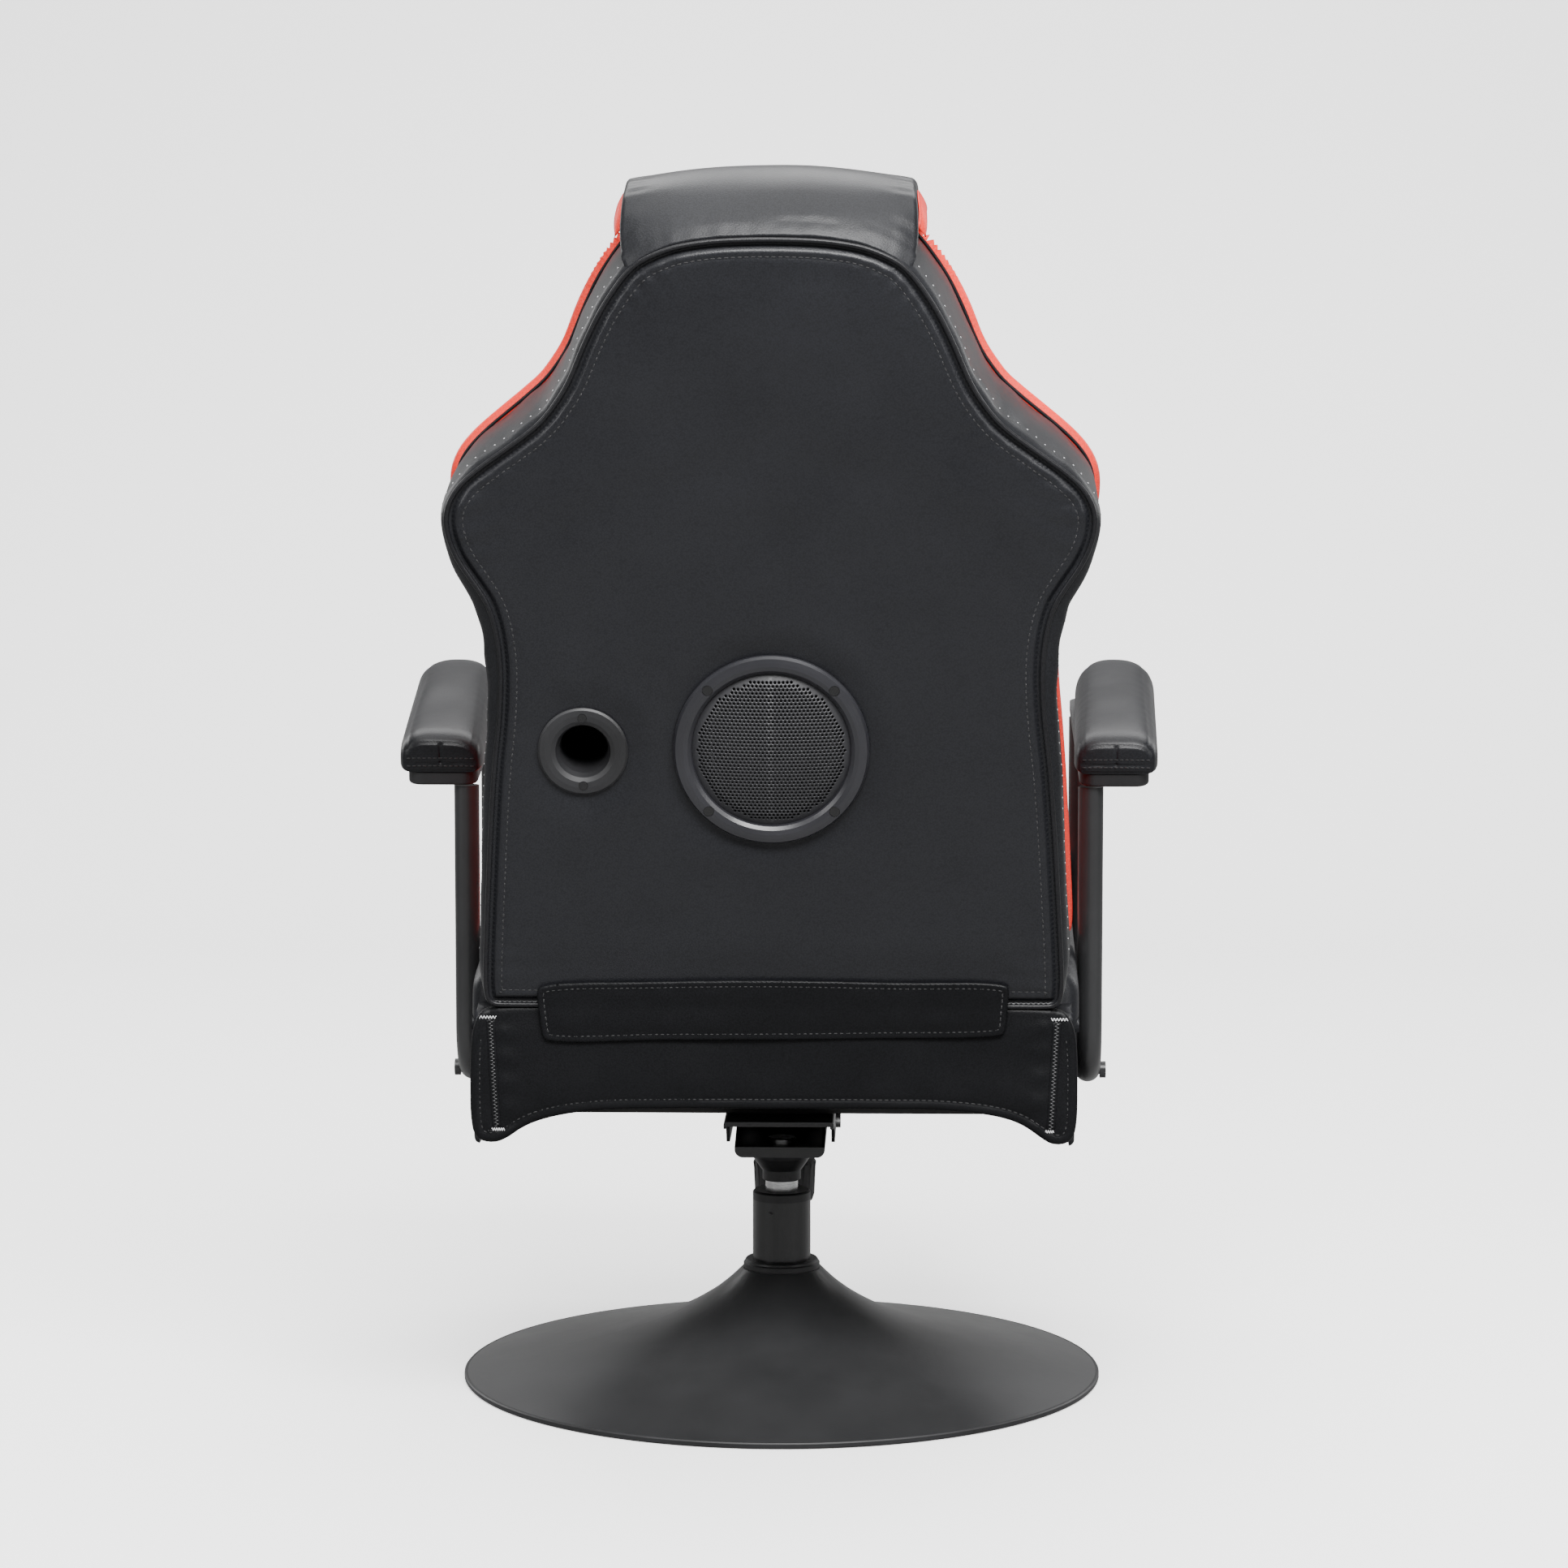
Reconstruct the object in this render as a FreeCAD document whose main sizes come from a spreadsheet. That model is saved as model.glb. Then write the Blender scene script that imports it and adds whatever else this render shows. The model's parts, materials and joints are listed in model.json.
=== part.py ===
import FreeCAD, Part
import Sketcher
import math
import os
from FreeCAD import Vector, Rotation, Placement

# Pedestal gaming chair with a rocking seat. Millimetres, +Z up, origin on the
# floor under the column. The sitter faces -Y and +X is the sitter's left.

os.makedirs("parts", exist_ok=True)
doc = FreeCAD.newDocument("pedestal_gaming_chair")
sheet = doc.addObject("Spreadsheet::Sheet", "dims")

TABLE = [
    # base
    ("base_rad", 275), ("trim_height", 5), ("trumpet_rad", 272), ("trumpet_wall", 2.5),
    ("neck_rad", 34.5), ("neck_height", 93), ("underplate_rad", 262), ("underplate_thick", 3),
    ("collar_rad", 33), ("collar_height", 8), ("tube_rad", 25), ("tube_wall", 3),
    ("tube_top", 153), ("cap_top", 161), ("foot_rad", 60), ("foot_thick", 6),
    ("foot_bolt_pcd", 45), ("bolt_rad", 4),
    # swivel
    ("spindle_rad", 14), ("spindle_bottom", 40), ("spindle_top", 207), ("run_gap", 0.05),
    ("sleeve_rad", 16.5), ("sleeve_bottom", 170), ("socket_bottom", 179), ("pan_bottom", 200),
    ("pan_half", 38.5), ("pan_wall", 2.5), ("pan_rim", 224), ("pan_front", -122), ("pan_rear", 62),
    ("pan_lip", 209), ("pin_y", -35), ("pin_z", 217), ("pin_rad", 5),
    ("tension_y", -98), ("tension_pivot", 237.2), ("knob_rad", 28), ("knob_top", 170), ("knob_bottom", 131),
    ("spring_rad", 15), ("spring_wire", 1.6),
    # upper bracket
    ("bracket_half", 46.5), ("bracket_top", 237), ("bracket_thick", 4), ("bracket_drop", 208),
    ("bracket_front", -130), ("bracket_rear", 98),
    # seat
    ("seat_half", 245), ("seat_rear", 245), ("seat_front", -340), ("board_bottom", 238), ("board_rear", 60),
    ("board_thick", 15), ("rail_height", 66), ("rail_thick", 20), ("seat_top_rear", 388),
    ("seat_top_front", 432), ("apron_thick", 10), ("flap_half", 190),
    # backrest, in its own leaning frame: across, depth from the rear panel, height along it
    ("back_y", 245), ("back_z", 364), ("back_lean", 12), ("panel_thick", 6), ("board_back", 12),
    ("core_front", 121), ("cushion_front", 148), ("bolster_front", 160), ("gusset_out", 10),
    # woofer and port
    ("woofer_s", 213), ("ring_rad", 78), ("ring_inner", 63), ("woofer_screw_pcd", 71), ("ring_thick", 8),
    ("cone_travel", 3), ("port_x", 150), ("port_s", 211), ("port_flange", 36), ("port_bore", 19),
    ("port_length", 74), ("port_screw_pcd", 28.2),
    # armrests
    ("arm_x", 261), ("arm_tube_rad", 10.5), ("arm_rear_y", 100), ("arm_front_y", -146),
    ("arm_low", 277), ("arm_bend", 45), ("pad_half", 34), ("pad_x", 281), ("plate_half", 29),
    ("pad_slope", 8.3), ("plate_thick", 11), ("pad_thick", 32), ("pad_length", 286),
    ("pad_y", 118), ("pad_z", 523),
    # control panel
    ("panel_y", -232), ("panel_z", 306), ("knob_small", 9),
]
VALUES = {}
for row, (alias, value) in enumerate(TABLE, start=1):
    sheet.set("A%d" % row, alias)
    sheet.set("B%d" % row, str(value))
    sheet.setAlias("B%d" % row, alias)
    VALUES[alias] = float(value)
doc.recompute()


class V:
    """A number together with the spreadsheet expression it comes from."""

    def __init__(self, num, exp):
        self.num = float(num)
        self.exp = exp

    def __add__(self, o):
        o = wrap(o)
        return V(self.num + o.num, "(%s + %s)" % (self.exp, o.exp))

    def __sub__(self, o):
        o = wrap(o)
        return V(self.num - o.num, "(%s - %s)" % (self.exp, o.exp))

    def __mul__(self, o):
        o = wrap(o)
        return V(self.num * o.num, "(%s * %s)" % (self.exp, o.exp))

    def __truediv__(self, o):
        o = wrap(o)
        return V(self.num / o.num, "(%s / %s)" % (self.exp, o.exp))

    def __radd__(self, o):
        return wrap(o) + self

    def __rsub__(self, o):
        return wrap(o) - self

    def __rmul__(self, o):
        return wrap(o) * self

    def __neg__(self):
        return V(-self.num, "(0 - %s)" % self.exp)


def wrap(v):
    return v if isinstance(v, V) else V(v, "(%s)" % format(float(v), ".6f"))


def D(name):
    return V(VALUES[name], "dims." + name)


def bind(obj, prop, value):
    value = wrap(value)
    obj.setExpression(prop, value.exp)


NODES = []


def body(name):
    b = doc.addObject("PartDesign::Body", name)
    b.Label = name
    b.AllowCompound = True
    NODES.append(b)
    return b


def origin_plane(b, role):
    return [f for f in b.Origin.OriginFeatures if f.Role == role][0]


def sketch(b, role, offset=0, name="sketch"):
    s = b.newObject("Sketcher::SketchObject", b.Name + "_" + name)
    s.AttachmentSupport = [(origin_plane(b, role), "")]
    s.MapMode = "FlatFace"
    offset = wrap(offset)
    s.AttachmentOffset = Placement(Vector(0, 0, offset.num), Rotation())
    s.setExpression("AttachmentOffset.Base.z", offset.exp)
    return s


def locate(s, items):
    """items: (geometry, point, x, y) held by distances from the sketch origin."""
    cons, exps = [], []
    for g, p, x, y in items:
        x, y = wrap(x), wrap(y)
        if abs(x.num) < 1e-9:
            cons.append(Sketcher.Constraint("PointOnObject", g, p, -2))
            exps.append(None)
        else:
            cons.append(Sketcher.Constraint("DistanceX", -1, 1, g, p, x.num))
            exps.append(x.exp)
        if abs(y.num) < 1e-9:
            cons.append(Sketcher.Constraint("PointOnObject", g, p, -1))
            exps.append(None)
        else:
            cons.append(Sketcher.Constraint("DistanceY", -1, 1, g, p, y.num))
            exps.append(y.exp)
    ids = s.addConstraint(cons)
    for i, e in zip(ids, exps):
        if e:
            s.setExpression("Constraints[%d]" % i, e)


def poly(s, pts):
    pts = [(wrap(x), wrap(y)) for x, y in pts]
    n = len(pts)
    g0 = s.GeometryCount
    s.addGeometry(
        [
            Part.LineSegment(
                Vector(pts[i][0].num, pts[i][1].num, 0),
                Vector(pts[(i + 1) % n][0].num, pts[(i + 1) % n][1].num, 0),
            )
            for i in range(n)
        ],
        False,
    )
    s.addConstraint(
        [Sketcher.Constraint("Coincident", g0 + i, 2, g0 + (i + 1) % n, 1) for i in range(n)]
    )
    locate(s, [(g0 + i, 1, x, y) for i, (x, y) in enumerate(pts)])


def rect(s, x0, y0, x1, y1):
    poly(s, [(x0, y0), (x1, y0), (x1, y1), (x0, y1)])


def circle(s, x, y, r):
    x, y, r = wrap(x), wrap(y), wrap(r)
    g = s.addGeometry(Part.Circle(Vector(x.num, y.num, 0), Vector(0, 0, 1), r.num), False)
    locate(s, [(g, 3, x, y)])
    i = s.addConstraint(Sketcher.Constraint("Radius", g, r.num))
    s.setExpression("Constraints[%d]" % i, r.exp)


def curve(s, poles):
    """An open B-spline whose control points are held by the sheet; returns its geometry id."""
    poles = [(wrap(x), wrap(y)) for x, y in poles]
    c = Part.BSplineCurve()
    c.buildFromPoles([Vector(x.num, y.num, 0) for x, y in poles], False, 3)
    g = s.addGeometry(c, False)
    s.exposeInternalGeometry(g)
    locate(s, [(g + 1 + i, 3, x, y) for i, (x, y) in enumerate(poles)])
    return g


def chain(s, pieces):
    """A closed loop of curves, each a list of control points; two points make a line."""
    ids = []
    for pts in pieces:
        if len(pts) == 2:
            (x0, y0), (x1, y1) = [(wrap(a), wrap(b)) for a, b in pts]
            ids.append(
                s.addGeometry(
                    Part.LineSegment(Vector(x0.num, y0.num, 0), Vector(x1.num, y1.num, 0)), False
                )
            )
        else:
            ids.append(curve(s, pts))
    cons = []
    for i, g in enumerate(ids):
        cons.append(Sketcher.Constraint("Coincident", g, 2, ids[(i + 1) % len(ids)], 1))
    s.addConstraint(cons)
    for i, pts in enumerate(pieces):
        if len(pts) == 2:
            prev = pieces[i - 1]
            after = pieces[(i + 1) % len(pieces)]
            items = []
            if len(prev) == 2:
                items.append((ids[i], 1, pts[0][0], pts[0][1]))
            if len(after) == 2 and False:
                items.append((ids[i], 2, pts[1][0], pts[1][1]))
            if items:
                locate(s, items)
    return ids


def fresh(*objs):
    for o in objs:
        o.recompute()


def pad(b, s, length, name="pad", reverse=False):
    p = b.newObject("PartDesign::Pad", b.Name + "_" + name)
    p.Profile = s
    length = wrap(length)
    p.Length = length.num
    bind(p, "Length", length)
    p.Reversed = reverse
    fresh(s, p)
    return p


def pocket(b, s, length, name="pocket", reverse=False):
    before = b.Tip.Shape.Volume
    p = b.newObject("PartDesign::Pocket", b.Name + "_" + name)
    p.Profile = s
    length = wrap(length)
    p.Length = length.num
    bind(p, "Length", length)
    p.Reversed = reverse
    fresh(s, p)
    if not p.Shape.Volume < before - 1e-3:
        raise RuntimeError("pocket %s takes nothing away" % p.Name)
    return p


def revolve(b, s, name="revolution"):
    r = b.newObject("PartDesign::Revolution", b.Name + "_" + name)
    r.Profile = s
    r.ReferenceAxis = (s, ["V_Axis"])
    r.Angle = 360
    fresh(s, r)
    return r


def dress(b, kind, feature, size, edges, name="edge"):
    """A fillet or chamfer on the edges of the body that a test picks out."""
    names = ["Edge%d" % (i + 1) for i, e in enumerate(feature.Shape.Edges) if edges(e)]
    if not names:
        raise RuntimeError("no edges for %s" % b.Name)
    f = b.newObject("PartDesign::" + kind, b.Name + "_" + name)
    f.Base = (feature, names)
    size = wrap(size)
    prop = "Radius" if kind == "Fillet" else "Size"
    setattr(f, prop, size.num)
    bind(f, prop, size)
    fresh(f)
    return f


def place(b, x=0, y=0, z=0, axis=None, angle=0):
    x, y, z = wrap(x), wrap(y), wrap(z)
    rot = Rotation(Vector(*axis), wrap(angle).num) if axis else Rotation()
    b.Placement = Placement(Vector(x.num, y.num, z.num), rot)
    for c, v in zip("xyz", (x, y, z)):
        bind(b, "Placement.Base." + c, v)


def lean(b):
    """Put a backrest piece into the leaning frame of the rear panel."""
    place(b, 0, D("back_y"), D("back_z"), (-1, 0, 0), D("back_lean"))


def bar(name, x0, x1, y0, y1, z0, z1, fillet=None):
    """A board, rail or block: a rectangle padded upward, with rounded upright edges."""
    b = body(name)
    s = sketch(b, "XY_Plane", z0)
    rect(s, x0, y0, x1, y1)
    p = pad(b, s, wrap(z1) - wrap(z0))
    if fillet:
        dress(b, "Fillet", p, fillet, lambda e: abs(e.tangentAt(e.FirstParameter).z) > 0.9)
    return b


def side_profile(name, pts, x0, x1, round_edges=None, leaning=False):
    """A piece drawn in side view and padded across the chair from x0 to x1."""
    b = body(name)
    s = sketch(b, "YZ_Plane", x0)
    poly(s, pts)
    p = pad(b, s, wrap(x1) - wrap(x0))
    if round_edges:
        dress(b, "Fillet", p, round_edges, lambda e: abs(e.tangentAt(e.FirstParameter).x) < 0.5)
    if leaning:
        lean(b)
    return b


def studs(name, role, spots, layers):
    """Identical fasteners: each layer is (offset, length, radius) at every spot."""
    b = body(name)
    for k, (off, length, r) in enumerate(layers):
        s = sketch(b, role, off, "layer%d" % k)
        for x, y in spots:
            circle(s, x, y, r)
        pad(b, s, length, "pad%d" % k)
    return b


# ---------------------------------------------------------------- base
def trumpet_poles(drop):
    pts = [(48, 79), (68.5, 64.5), (100, 48), (140, 35), (180, 25), (220, 16), (258, 8)]
    k = D("base_rad") / 275
    out = [(D("neck_rad"), D("neck_height") - drop)]
    out += [(k * x, wrap(z) - drop) for x, z in pts]
    return out + [(D("trumpet_rad"), D("trim_height") - drop + (drop if wrap(drop).num else 0))]


b = body("base_trumpet")
s = sketch(b, "XZ_Plane")
outer = trumpet_poles(0)
inner = [
    (D("trumpet_rad") - 4, D("trim_height")),
    (wrap(256), D("trim_height") + 0.6),
    (219, 13.4),
    (179, 22.4),
    (139, 32.3),
    (98.8, 45.2),
    (66.5, 61.8),
    (44, 76.8),
    (D("neck_rad") - 4, D("neck_height")),
]
chain(s, [outer, [outer[-1], inner[0]], inner, [inner[-1], outer[0]]])
revolve(b, s)

b = body("base_underplate")
s = sketch(b, "XY_Plane")
circle(s, 0, 0, D("underplate_rad"))
p = pad(b, s, D("underplate_thick"))
dress(b, "Chamfer", p, 0.6, lambda e: e.BoundBox.ZMax > 2.9)

b = body("base_edge_trim")
s = sketch(b, "XZ_Plane")
poly(
    s,
    [
        (D("underplate_rad") + 0.5, 0),
        (D("base_rad") - 1, 0),
        (D("base_rad"), 1.2),
        (D("base_rad"), D("trim_height") - 1),
        (D("base_rad") - 1, D("trim_height")),
        (D("underplate_rad") + 0.5, D("trim_height")),
    ],
)
revolve(b, s)

b = body("base_collar")
s = sketch(b, "XZ_Plane")
poly(
    s,
    [
        (D("tube_rad"), D("neck_height")),
        (D("collar_rad"), D("neck_height")),
        (D("collar_rad"), D("neck_height") + 4.5),
        (D("collar_rad") - 1, D("neck_height") + 5.5),
        (D("collar_rad") - 1.6, D("neck_height") + D("collar_height") - 1),
        (D("collar_rad") - 2.6, D("neck_height") + D("collar_height")),
        (D("tube_rad"), D("neck_height") + D("collar_height")),
    ],
)
revolve(b, s)

b = body("column_tube")
s = sketch(b, "XZ_Plane")
foot = D("underplate_thick") + D("foot_thick")
poly(
    s,
    [
        (D("tube_rad") - D("tube_wall"), D("underplate_thick")),
        (D("foot_rad"), D("underplate_thick")),
        (D("foot_rad"), foot),
        (D("tube_rad") + 3, foot),
        (D("tube_rad"), foot + 3),
        (D("tube_rad"), D("tube_top")),
        (D("tube_rad") - D("tube_wall"), D("tube_top")),
    ],
)
revolve(b, s)
s = sketch(b, "XY_Plane", D("underplate_thick"), "holes")
circle(s, D("foot_bolt_pcd"), 0, D("bolt_rad"))
p = pocket(b, s, D("foot_thick"), "hole", reverse=True)
pat = b.newObject("PartDesign::PolarPattern", b.Name + "_ring")
pat.Originals = [p]
pat.Axis = ([f for f in b.Origin.OriginFeatures if f.Role == "Z_Axis"][0], [""])
pat.Angle = 360
pat.Occurrences = 4
fresh(pat)
b.Tip = pat
s = sketch(b, "XZ_Plane", -(D("tube_rad") + 2), "screw_hole")
circle(s, 8.4, 145, 2.5)
pocket(b, s, 8, "side_hole", reverse=True)

b = body("column_cap")
s = sketch(b, "XZ_Plane")
poly(
    s,
    [
        (D("spindle_rad") + D("run_gap"), 140),
        (D("tube_rad") - D("tube_wall"), 140),
        (D("tube_rad") - D("tube_wall"), D("tube_top")),
        (D("tube_rad"), D("tube_top")),
        (D("tube_rad"), D("cap_top") - 1.5),
        (D("tube_rad") - 1.5, D("cap_top")),
        (D("spindle_rad") + D("run_gap"), D("cap_top")),
    ],
)
revolve(b, s)
s = sketch(b, "XZ_Plane", -(D("tube_rad") + 2), "screw_hole")
circle(s, 8.4, 145, 2.5)
pocket(b, s, 9, "side_hole", reverse=True)

b = body("column_bushing")
s = sketch(b, "XZ_Plane")
poly(
    s,
    [
        (0, 20),
        (D("tube_rad") - D("tube_wall"), 20),
        (D("tube_rad") - D("tube_wall"), 75),
        (D("spindle_rad") + D("run_gap"), 75),
        (D("spindle_rad") + D("run_gap"), 34),
        (0, 34),
    ],
)
revolve(b, s)

b = body("column_set_screw")
s = sketch(b, "XZ_Plane", -(D("tube_rad") - 1.6))
circle(s, 8.4, 145, 2.5)
p = pad(b, s, 4.4)
s = sketch(b, "XZ_Plane", -(D("tube_rad") - 1.6), "socket")
circle(s, 8.4, 145, 1.3)
pocket(b, s, 1.8, reverse=True)

pcd = D("foot_bolt_pcd")
studs(
    "foot_bolts",
    "XY_Plane",
    [(pcd, 0), (0, pcd), (-pcd, 0), (0, -pcd)],
    [(D("underplate_thick"), D("foot_thick"), D("bolt_rad")), (foot, 5.5, 6.5)],
)

# ---------------------------------------------------------------- swivel unit
b = body("thrust_bearing")
s = sketch(b, "XY_Plane", 34)
circle(s, 0, 0, D("spindle_rad") - 0.4)
pad(b, s, D("spindle_bottom") - 34)

b = body("spindle")
s = sketch(b, "XZ_Plane")
poly(
    s,
    [
        (0, D("spindle_bottom")),
        (D("spindle_rad") - 1, D("spindle_bottom")),
        (D("spindle_rad"), D("spindle_bottom") + 1),
        (D("spindle_rad"), D("pan_bottom") - 5),
        (D("spindle_rad") - 1.5, D("spindle_top") - 1),
        (D("spindle_rad") - 2.5, D("spindle_top")),
        (0, D("spindle_top")),
    ],
)
revolve(b, s)

b = body("spindle_sleeve")
s = sketch(b, "XZ_Plane")
rect(s, D("spindle_rad"), D("sleeve_bottom"), D("sleeve_rad"), D("socket_bottom"))
p = revolve(b, s)
dress(b, "Chamfer", p, 0.7, lambda e: e.BoundBox.ZMax < 171 and e.BoundBox.XMax > 16)

# pressed pan with a conical socket under it for the spindle
b = body("mechanism_housing")
s = sketch(b, "XY_Plane", D("pan_bottom"))
rect(s, -D("pan_half"), D("pan_front"), D("pan_half"), D("pan_rear"))
p = pad(b, s, D("pan_rim") - D("pan_bottom"))
dress(b, "Fillet", p, 7, lambda e: e.BoundBox.ZMax < 200.1 and e.BoundBox.YLength > 100, "edge_low")
s = sketch(b, "XY_Plane", D("pan_bottom") + D("pan_wall"), "inside")
rect(
    s,
    -D("pan_half") + D("pan_wall"),
    D("pan_front") + D("pan_wall"),
    D("pan_half") - D("pan_wall"),
    D("pan_rear") - D("pan_wall"),
)
pocket(b, s, 40, "inside_cut", reverse=True)
s = sketch(b, "XY_Plane", D("pan_lip"), "rear_window")
rect(s, -D("pan_half") + 2.6, D("pan_rear") - 4, D("pan_half") - 2.6, D("pan_rear") + 4)
pocket(b, s, 40, "rear_cut", reverse=True)
s = sketch(b, "YZ_Plane", -(D("pan_half") + 1), "wall_slope")
poly(
    s,
    [
        (-10, D("pan_rim")),
        (D("pan_rear") + 1, D("pan_lip") - 0.2),
        (D("pan_rear") + 1, D("pan_rim") + 1),
        (-10, D("pan_rim") + 1),
    ],
)
pocket(b, s, 90, "wall_slope_cut", reverse=True)
s = sketch(b, "XZ_Plane", 0, "socket")
poly(
    s,
    [
        (0, D("socket_bottom")),
        (D("sleeve_rad") + 0.8, D("socket_bottom")),
        (D("sleeve_rad") + 3, D("socket_bottom") + 3),
        (25, D("socket_bottom") + 11),
        (27.5, D("pan_bottom") - 4),
        (29, D("pan_bottom") + D("pan_wall")),
        (0, D("pan_bottom") + D("pan_wall")),
    ],
)
revolve(b, s, "socket_cone")
s = sketch(b, "XZ_Plane", 0, "bore")
poly(
    s,
    [
        (0, D("socket_bottom") - 1),
        (D("spindle_rad"), D("socket_bottom") - 1),
        (D("spindle_rad"), D("pan_bottom") - 5),
        (D("spindle_rad") - 1.5, D("spindle_top") - 1),
        (0, D("spindle_top") - 1),
    ],
)
before = b.Tip.Shape.Volume
g = b.newObject("PartDesign::Groove", b.Name + "_bore_cut")
g.Profile = s
g.ReferenceAxis = (s, ["V_Axis"])
g.Angle = 360
fresh(s, g)
if not g.Shape.Volume < before:
    raise RuntimeError("spindle bore is not cut")
s = sketch(b, "XY_Plane", D("pan_bottom") - 1, "bolt_hole")
circle(s, 0, D("tension_y"), 10.5)
pocket(b, s, 6, "bolt_cut", reverse=True)
s = sketch(b, "YZ_Plane", -(D("pan_half") + 1), "pin_hole")
circle(s, D("pin_y"), D("pin_z"), D("pin_rad") + D("run_gap"))
pocket(b, s, 90, "pin_cut", reverse=True)

b = body("tilt_stop_bumper")
s = sketch(b, "XY_Plane", D("pan_bottom") + D("pan_wall"))
rect(s, -25, D("pan_front") + D("pan_wall"), 25, D("pan_front") + D("pan_wall") + 9)
p = pad(b, s, D("bracket_top") - D("bracket_thick") - D("pan_bottom") - D("pan_wall") - 0.3)
dress(b, "Fillet", p, 3, lambda e: abs(e.tangentAt(e.FirstParameter).z) > 0.9)

b = body("tension_spring")
wire = D("spring_wire").num
top = VALUES["pan_bottom"]
low = VALUES["knob_top"] + 2.3
turns = 4.0
pitch = (top - low - 2 * wire - 0.1) / turns
s = sketch(b, "XZ_Plane", 0, "wire")
circle(s, D("spring_rad") - D("spring_wire"), D("knob_top") + 2.35 + D("spring_wire"), D("spring_wire"))
helix = b.newObject("PartDesign::AdditiveHelix", "tension_spring_coil")
helix.Profile = s
helix.ReferenceAxis = (s, ["V_Axis"])
helix.Mode = 0
helix.Pitch = pitch
helix.Height = pitch * turns
bind(helix, "Pitch", (D("pan_bottom") - D("knob_top") - 2.4 - D("spring_wire") * 2 - 0.1) / turns)
bind(helix, "Height", D("pan_bottom") - D("knob_top") - 2.4 - D("spring_wire") * 2 - 0.1)
place(b, 0, D("tension_y"), 0)

# ---------------------------------------------------------------- tension control
b = body("tension_bolt")
s = sketch(b, "XZ_Plane")
poly(
    s,
    [
        (0, D("knob_bottom") + 6),
        (3.9, D("knob_bottom") + 6),
        (3.9, D("tension_pivot") + 0.1),
        (7, D("tension_pivot") + 2),
        (7, D("tension_pivot") + 5),
        (5.4, D("tension_pivot") + 6.4),
        (0, D("tension_pivot") + 6.4),
    ],
)
revolve(b, s)
# cross hole for a locking wire, on the axis about which the bolt hangs
s = sketch(b, "YZ_Plane", -10, "wire_hole")
circle(s, 0, D("tension_pivot"), 0.9)
pocket(b, s, 20, "wire_hole_cut", reverse=True)
place(b, 0, D("tension_y"), 0)

b = body("tension_washer")
s = sketch(b, "XZ_Plane")
rect(s, 3.95, D("knob_top") + 0.15, D("spring_rad") + 3, D("knob_top") + 2.2)
p = revolve(b, s)
dress(b, "Chamfer", p, 0.5, lambda e: e.BoundBox.XMax > 17)
place(b, 0, D("tension_y"), 0)

b = body("tension_knob")
s = sketch(b, "XZ_Plane")
poly(
    s,
    [
        (4, D("knob_bottom") + 10),
        (4, D("knob_bottom") + 0.5),
        (6, D("knob_bottom")),
        (D("knob_rad") - 6.5, D("knob_bottom")),
        (D("knob_rad") - 3.4, D("knob_bottom") + 2.4),
        (D("knob_rad") - 1.6, D("knob_bottom") + 8),
        (D("knob_rad") - 0.6, D("knob_top") - 8),
        (D("knob_rad"), D("knob_top") - 3),
        (D("knob_rad") - 1.5, D("knob_top") - 0.6),
        (D("knob_rad") - 6, D("knob_top")),
        (4, D("knob_top")),
    ],
)
revolve(b, s)
s = sketch(b, "XY_Plane", D("knob_bottom") - 1, "flute")
circle(s, D("knob_rad") + 1.4, 0, 2.9)
p = pocket(b, s, 50, "flute_cut", reverse=True)
pat = b.newObject("PartDesign::PolarPattern", b.Name + "_ring")
pat.Originals = [p]
pat.Axis = ([f for f in b.Origin.OriginFeatures if f.Role == "Z_Axis"][0], [""])
pat.Angle = 360
pat.Occurrences = 20
fresh(pat)
b.Tip = pat
place(b, 0, D("tension_y"), 0)

# ---------------------------------------------------------------- rocker and its pin
b = body("upper_bracket")
s = sketch(b, "XZ_Plane", -D("bracket_rear"))
top = D("bracket_top")
drop = D("bracket_drop")
half = D("bracket_half")
thick = D("bracket_thick")
poly(
    s,
    [
        (-half, top),
        (-half, drop),
        (-half + 3, drop),
        (-half + 3, top - thick),
        (half - 3, top - thick),
        (half - 3, drop),
        (half, drop),
        (half, top),
    ],
)
p = pad(b, s, D("bracket_rear") - D("bracket_front"))
dress(
    b, "Fillet", p, 2.5,
    lambda e: e.BoundBox.ZMin > 236.9 and e.BoundBox.YLength > 100, "edge_long",
)
s = sketch(b, "YZ_Plane", -(D("bracket_half") + 1), "side_shape")
poly(
    s,
    [
        (D("bracket_rear") + 1, top - thick - 0.01),
        (D("bracket_rear") + 1, drop - 1),
        (30, drop - 1),
        (44, top - thick - 8),
        (D("bracket_rear") - 6, top - thick - 3),
    ],
)
pocket(b, s, 100, "rear_trim", reverse=True)
s = sketch(b, "YZ_Plane", -(D("bracket_half") + 1), "front_shape")
poly(
    s,
    [
        (D("bracket_front") - 1, top - thick - 0.01),
        (D("bracket_front") + 22, top - thick - 6),
        (-78, drop - 1),
        (D("bracket_front") - 1, drop - 1),
    ],
)
pocket(b, s, 100, "front_trim", reverse=True)
s = sketch(b, "YZ_Plane", -(D("bracket_half") + 1), "pin_hole")
circle(s, D("pin_y"), D("pin_z"), D("pin_rad"))
pocket(b, s, 100, "pin_cut", reverse=True)
mount_spots = [(34, -112), (-34, -112), (27, 44), (-27, 44)]
s = sketch(b, "XY_Plane", top + 1, "bolt_holes")
for x, y in mount_spots:
    circle(s, x, y, 3.5)
pocket(b, s, 12, "bolt_cut")
# the tension bolt hangs by its coned head in this hole and stays upright while the seat rocks
s = sketch(b, "XY_Plane", top - thick - 3, "relief")
circle(s, 0, D("tension_y"), 5.4)
pocket(b, s, thick + 6, "relief_cut", reverse=True)

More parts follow.
